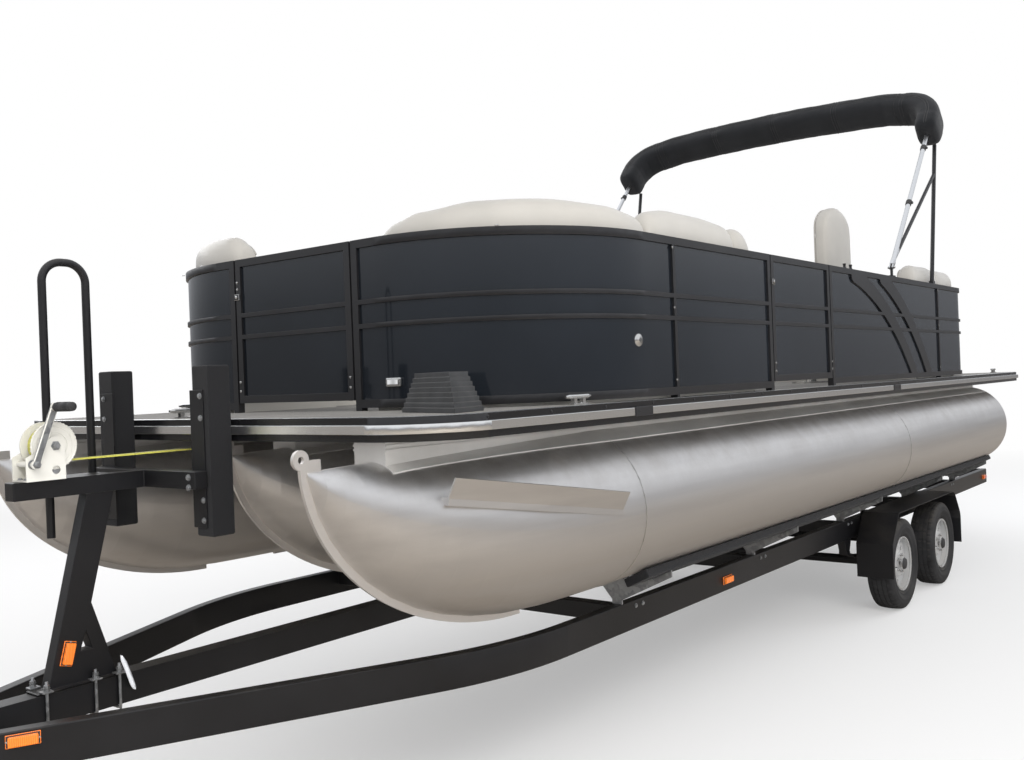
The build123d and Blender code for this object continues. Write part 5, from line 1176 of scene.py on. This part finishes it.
def floatWelds():
    bm = bmesh.new()
    for y, nose in ((floatOffset, 2.128), (0.0, 1.678), (-floatOffset, 2.128)):
        for x in (nose, -1.2):
            weldBead(bm, floatArc(x, y, floatRadius + 0.0005, -242, 304, 140), 0.0024)
        weldBead(bm, floatArc(-3.862, y, 0.302, 0, 360, 120), 0.0026)
    finishPiece(bm, "float_welds", "mill_aluminium")
    bm = bmesh.new()
    riserHalf = 0.0705
    foot = floatHeight + math.sqrt(floatRadius ** 2 - riserHalf ** 2) + 0.0012
    for y in (floatOffset, 0.0, -floatOffset):
        for side in hands:
            weldBead(bm, [(-3.78 + k * 0.02, y + side * (riserHalf + 0.001), foot) for k in range(269)], 0.0028)
    finishPiece(bm, "riser_welds", "mill_aluminium")


def fenceHardware():
    bm = bmesh.new()
    for x in (1.775, -2.079):
        for side in hands:
            for z in (2.15, 1.9, 1.6):
                bolt(bm, (x, side * 1.2502, z), alongY * side, 0.0036)
    for x, y in ((2.744, 0.548), (2.744, -0.624), (2.6, 0.985), (2.6, -0.985)):
        turned(bm, (x, y, 2.1938), alongZ, ((0.009, 0), (0.008, 0.0022), (0.0045, 0.0036), (0, 0.004)), 18)
    knob = ((0.0115, 0), (0.0115, 0.003), (0.008, 0.006), (0.008, 0.02), (0.01, 0.023), (0.009, 0.028), (0, 0.029))
    for x in (-0.27, -0.37):
        turned(bm, (x, 1.234, 2.1938), alongZ, knob, 20, 1)
    finishPiece(bm, "fence_fasteners", "bright_steel black_frame")
    bm = bmesh.new()
    for side in hands:
        out = Vector((math.cos(math.radians(7.5)), side * math.sin(math.radians(7.5)), 0))
        across = Vector((-out.y, out.x, 0))
        centre, turn = Vector((2.7465, side * 0.576, 1.634)), basis(out, across, alongZ)
        block(bm, centre + out * 0.006, (0.012, 0.072, 0.034), 0.005, 0, turn, 3)
        block(bm, centre + out * 0.013, (0.006, 0.056, 0.022), 0.003, 1, turn, 3)
        for shift in (0.032, -0.032):
            bolt(bm, centre + out * 0.012 + across * shift, out, 0.0018)
    finishPiece(bm, "docking_lights", "bright_steel clear_lens")
    bm = bmesh.new()
    centre = Vector((2.056, 1.2392, 1.763))
    socket = ((0.026, 0), (0.026, 0.003), (0.023, 0.006), (0.012, 0.007), (0.0115, 0.01), (0.005, 0.0102), (0, 0.008))
    turned(bm, centre, (0.08, 1, 0), socket, 36)
    slab(bm, centre + Vector((-0.003, 0.008, -0.01)), centre + Vector((0.003, 0.0125, 0.01)), 0.001, 1)
    finishPiece(bm, "shore_socket", "bright_steel black_grip")


def gateFittings():
    # a black latch with a steel button at each gate's free edge, and its bolts
    for gate, out, places, height in (
        ("bow_gate", alongX, [(2.7602, -0.351), (2.7602, 0.346)], 2.03),
        ("side_gate", alongY, [(0.774, 1.2502), (0.021, 1.2502)], 2.06),
        ("stern_gate", -alongX, [(-2.9802, -0.306), (-2.9802, -0.868)], 2.06),
    ):
        bm = bmesh.new()
        place = Vector((*places[0], height))
        half = Vector((abs(out.y), abs(out.x), 0)) * 0.017 + alongZ * 0.013
        slab(bm, place - half, place + out * 0.0065 + half, 0.002, 1)
        turned(bm, place + out * 0.0065, out, ((0.0075, 0), (0.0075, 0.002), (0.006, 0.0035), (0, 0.004)), 16)
        spots = [(*spot, z) for spot in places for z in (1.66, 1.62)]
        if gate == "bow_gate":
            spots += [(*places[0], z) for z in (2.094, 2.065)]
        for spot in spots:
            bolt(bm, spot, out, 0.004)
        finishPiece(bm, gate + "_fasteners", "bright_steel black_frame", gate)


def loungeDoors():
    bm = bmesh.new()
    pull = ((0.022, 0), (0.022, 0.0015), (0.019, 0.0022), (0.017, 0.0006), (0, 0.0006))
    for side, start, end in ((-1, -0.02, 0.56), (-1, 0.62, 1.2), (-1, 1.26, 1.84), (1, 0.96, 1.38), (1, 1.44, 1.86)):
        slab(bm, (start, side * 0.5865, 1.644), (end, side * 0.5835, 1.828), 0.0012)
        turned(bm, ((start + end) / 2, side * 0.5837, 1.79), alongY * -side, pull, 28, 1)
        for x in (start + 0.07, end - 0.07):
            slab(bm, (x - 0.022, side * 0.5868, 1.636), (x + 0.022, side * 0.5815, 1.656), 0.001, 1)
    slab(bm, (-2.3165, -0.14, 1.644), (-2.3135, 0.5, 1.828), 0.0012)
    turned(bm, (-2.3137, 0.18, 1.79), alongX, pull, 28, 1)
    finishPiece(bm, "lounge_doors", "pale_moulding bright_steel")


def deckFasteners():
    bm = bmesh.new()
    for side in hands:
        for x in (2.125, -0.95):
            slab(bm, (x - 0.064, side * 1.2935, 1.469), (x + 0.064, side * 1.2985, 1.505), 0.0018)
            for shift in (-0.034, 0.034):
                bolt(bm, (x + shift, side * 1.2985, 1.487), alongY * side, 0.0026)
        for k in range(22):
            rivet = ((0.0052, 0), (0.0046, 0.0016), (0.0024, 0.0026), (0, 0.0028))
            turned(bm, (3.05 - k * 0.34, side * 1.2802, 1.514), alongY * side, rivet, 12)
    finishPiece(bm, "rub_rail_joints", "black_frame")
    bm = bmesh.new()
    screw = ((0.0058, 0.004), (0.005, 0.0062), (0.0026, 0.0074), (0, 0.007))
    for x, y in ((2.43, 1.2), (2.43, -1.2), (3.2, -0.1), (-4.3, 1.1), (-4.3, -1.1)):
        along = alongY if x == 3.2 else alongX
        for shift in (-0.018, 0.018):
            turned(bm, Vector((x, y, 1.5262)) + along * shift, alongZ, screw, 14)
    finishPiece(bm, "cleat_screws", "bright_steel")


def biminiFittings():
    nut = ((0, 0), (0.0105, 0), (0.0105, 0.0014), (0.0088, 0.0018), (0.0088, 0.0062), (0.007, 0.0076), (0, 0.0078))
    slider = ((0.0152, 0), (0.019, 0.001), (0.0195, 0.004), (0.0195, 0.036), (0.019, 0.039), (0.0152, 0.04))
    thumb = ((0.008, 0), (0.0095, 0.002), (0.0095, 0.008), (0.0065, 0.01), (0, 0.01))
    pins, slides = bmesh.new(), bmesh.new()
    for side in hands:
        foot = armPivot + alongY * side * armHalf
        for flip in hands:
            turned(pins, foot + alongY * flip * 0.0153, alongY * flip, nut, 6, 0, False)
        for reach in (0.62, 1.2):
            turned(slides, foot + armUp * (reach - 0.02), armUp, slider, 28)
            turned(slides, foot + armUp * reach + alongY * side * 0.019, alongY * side, thumb, 12, 0, False)
    finishPiece(pins, "bimini_pins", "bright_steel")
    finishPiece(slides, "bimini_slides", "black_grip", "bimini")


# The helm, placed by (up the dash, to port, out of it): gauges, switches, throttle, doors, cup holders.
dashFoot, dashHead = Vector((-0.96, -0.825, 2.166)), Vector((-0.76, -0.825, 2.486))
dashUp = (dashHead - dashFoot).normalized()
dashOut = Vector((-dashUp.z, 0, dashUp.x))


def onDash(rise, aside, lift=0.0):
    return dashFoot + dashUp * rise + alongY * aside + dashOut * lift


def dashBlock(bm, rise, aside, size, lift, chamfer, mat=0):
    block(bm, onDash(rise, aside, lift + size[0] / 2), size, chamfer, mat, basis(dashOut, alongY, dashOut.cross(alongY)), 3)


def gauge(bm, rise, aside, radius):
    def spot(degrees, share, lift):
        a = math.radians(degrees)
        return onDash(rise + math.sin(a) * radius * share, aside + math.cos(a) * radius * share, lift)

    rim = ((0, 0), (1, 0), (1, 0.007), (0.96, 0.0095), (0.88, 0.0095), (0.86, 0.0065), (0, 0.0065))
    turned(bm, spot(0, 0, 0.0065), dashOut, [(radius * share, rise) for share, rise in rim], 44, 1)
    turned(bm, spot(0, 0, 0.013), dashOut, disc(radius * 0.86, 0.0005), 44, 2)
    for k in range(11):
        bar(bm, spot(220 - 26 * k, 0.66, 0.0138), spot(220 - 26 * k, 0.8, 0.0138), 0.0007, 6, 3)
    bar(bm, spot(0, 0, 0.0142), spot(205, 0.7, 0.0142), 0.001, 6, 4)
    turned(bm, spot(0, 0, 0.0135), dashOut, ((0, 0), (0.004, 0), (0.004, 0.002), (0, 0.0026)), 16)


def helmDash():
    bm = bmesh.new()
    dashBlock(bm, 0.295, 0.0, (0.008, 0.6, 0.13), 0.0, 0.003)
    for aside, radius in ((-0.115, 0.04), (0.0, 0.05), (0.115, 0.04), (-0.225, 0.03), (0.225, 0.03)):
        gauge(bm, 0.3, aside, radius)
    dashBlock(bm, 0.09, 0.215, (0.006, 0.13, 0.05), 0.0, 0.002)
    for aside in (0.168 + 0.0235 * k for k in range(5)):
        dashBlock(bm, 0.09, aside, (0.006, 0.017, 0.034), 0.004, 0.002, 2)
        bar(bm, onDash(0.101, aside, 0.0096), onDash(0.104, aside, 0.0096), 0.0016, 8, 4)
    turned(bm, onDash(0.175, 0.255), dashOut, ((0.014, 0), (0.014, 0.004), (0.009, 0.007), (0.009, 0.011), (0, 0.011)), 24, 1)
    dashBlock(bm, 0.175, 0.255, (0.003, 0.0025, 0.01), 0.01, 0.0005)
    dashBlock(bm, 0.16, -0.262, (0.052, 0.052, 0.13), 0.0, 0.01)
    root = onDash(0.16, -0.236, 0.036)
    turned(bm, root, alongY, ((0, 0), (0.017, 0), (0.017, 0.007), (0.013, 0.01), (0, 0.01)), 28, 1)
    lever = (alongY * 0.008, alongY * 0.01 + dashOut * 0.05 + dashUp * 0.02, dashOut * 0.092 + dashUp * 0.045)
    hose(bm, bend([root + step for step in lever], 6), 0.0065, 14, 1)
    knob = ((0, 0), (0.01, 0.001), (0.014, 0.008), (0.0145, 0.022), (0.013, 0.04), (0.008, 0.048), (0, 0.05))
    turned(bm, root + dashOut * 0.096 + dashUp * 0.047 - alongY * 0.03, alongY, knob, 24)
    collar = ((0.0145, 0.0), (0.048, 0.0), (0.048, 0.004), (0.04, 0.01), (0.022, 0.014), (0.0145, 0.014))
    turned(bm, onDash(0.1887, 0.0, 0.0003), dashOut, collar, 36)
    finishPiece(bm, "helm_dash", "black_grip bright_steel motor_black clear_lens red_lens")


def helmDoor():
    bm = bmesh.new()
    corners = ((-0.46, 1.64), (-0.46, 2.12), (-0.8, 2.12), (-0.8, 1.64))
    ring = [(x, -0.4994, z) for x, z in corners]
    for start, end in zip(ring, ring[1:] + ring[:1]):
        bar(bm, start, end, 0.0016, 8)
    slab(bm, (-0.795, -0.5, 1.645), (-0.465, -0.4965, 2.115), 0.003, 1)
    lock = ((0.024, 0), (0.024, 0.0025), (0.02, 0.0035), (0.018, 0.0012), (0, 0.0012))
    turned(bm, (-0.5, -0.4968, 1.9), alongY, lock, 32, 2)
    slab(bm, (-0.512, -0.496, 1.8955), (-0.488, -0.4925, 1.9045), 0.001, 2)
    for z in (1.72, 2.04):
        slab(bm, (-0.806, -0.4995, z - 0.025), (-0.77, -0.494, z + 0.025), 0.001, 2)
        bar(bm, (-0.8, -0.4955, z - 0.026), (-0.8, -0.4955, z + 0.026), 0.003, 12, 2)
    for y in (-0.6, -1.05):
        cup = ((0.034, 0.001), (0.046, 0.0), (0.047, 0.0025), (0.04, 0.004), (0.036, 0.003))
        turned(bm, (-0.5, y, 2.4862), alongZ, cup, 40, 2)
        turned(bm, (-0.5, y, 2.4868), alongZ, disc(0.037, 0.001), 40)
    finishPiece(bm, "helm_doors", "black_grip pale_moulding bright_steel")


# The outboard's cowl as one smooth shell, with its parting line, vents, band and latch.
cowlMiddle, cowlLength, cowlHalf, cowlFoot, cowlTall = -4.805, 0.49, 0.17, 1.6903, 0.56
cowlPower, partingDepth, partingLow, partingHigh = 3.4, 0.007, 0.2179, 0.2261
# share of the height, shares of the full length and width there
cowlLevels = (
    (0.0, 0.86, 0.76), (0.09, 0.985, 0.94), (0.4, 1.0, 1.0), (0.68, 0.965, 0.93), (0.86, 0.88, 0.82), (0.95, 0.78, 0.68),
    (1.0, 0.62, 0.5))


def cowlAt(t):
    i = max(k for k in range(len(cowlLevels) - 1) if k == 0 or cowlLevels[k][0] < t)
    before, low, high, after = (cowlLevels[min(max(k, 0), len(cowlLevels) - 1)] for k in (i - 1, i, i + 1, i + 2))
    rise = high[0] - low[0]
    u = (t - low[0]) / rise
    out = []
    for k in (1, 2):
        leave = (high[k] - before[k]) / (high[0] - before[0]) * rise
        arrive = (after[k] - low[k]) / (after[0] - low[0]) * rise
        flat = low[k] * (1 + 2 * u) * (1 - u) ** 2 + high[k] * u * u * (3 - 2 * u)
        out.append(min(flat + leave * u * (1 - u) ** 2 + arrive * u * u * (u - 1), 1.0))
    return out


def cowlPoint(t, angle, proud=0.0):
    along, wide = cowlAt(t)
    c, s = squircle(angle, cowlPower)
    return Vector((cowlMiddle + c * (along * cowlLength / 2 + proud), s * (wide * cowlHalf + proud), cowlFoot + t * cowlTall))


def motorCowl():
    angles = [2 * math.pi * k / 96 for k in range(96)]
    bm = bmesh.new()
    rings = []
    for t in sorted({k / 60 for k in range(61)} | {0.212, 0.218, 0.226, 0.232, 0.995}):
        sunk = -partingDepth if partingLow < t < partingHigh else 0.0
        rings.append(addVerts(bm, [cowlPoint(t, a, sunk) for a in angles]))
    skinAll(bm, rings)
    for ring in (rings[0], rings[-1]):
        capEnd(bm, ring, Vector((cowlMiddle, 0, ring[0].co.z)), alongZ, ((0.8, 0), (0.5, 0), (0.2, 0)), 0)
    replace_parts(finishPiece(bm, "cowl_shell", "motor_black", "motor"), "motor_cowl")
    bm = bmesh.new()
    hose(bm, [cowlPoint(0.262, a, -0.003) for a in angles], 0.0032, 10, 0, True)
    for side in hands:
        for lean in (math.radians(side * (100 + 5.2 * k)) for k in range(6)):
            hose(bm, [cowlPoint(0.7 + 0.1 * j / 6, lean + side * 0.05 * j / 6, 0.0006) for j in range(7)], 0.004, 8, 1)
    slab(bm, (-4.574, -0.026, 1.786), (-4.5605, 0.026, 1.834), 0.004, 1)
    slab(bm, (-4.564, -0.02, 1.796), (-4.5575, 0.02, 1.806), 0.0015)
    finishPiece(bm, "cowl_fittings", "silver_arm black_grip", "motor")


for build in (floatWelds, fenceHardware, gateFittings, loungeDoors, deckFasteners, biminiFittings, helmDash, helmDoor, motorCowl):
    build()
report("boat hardware")
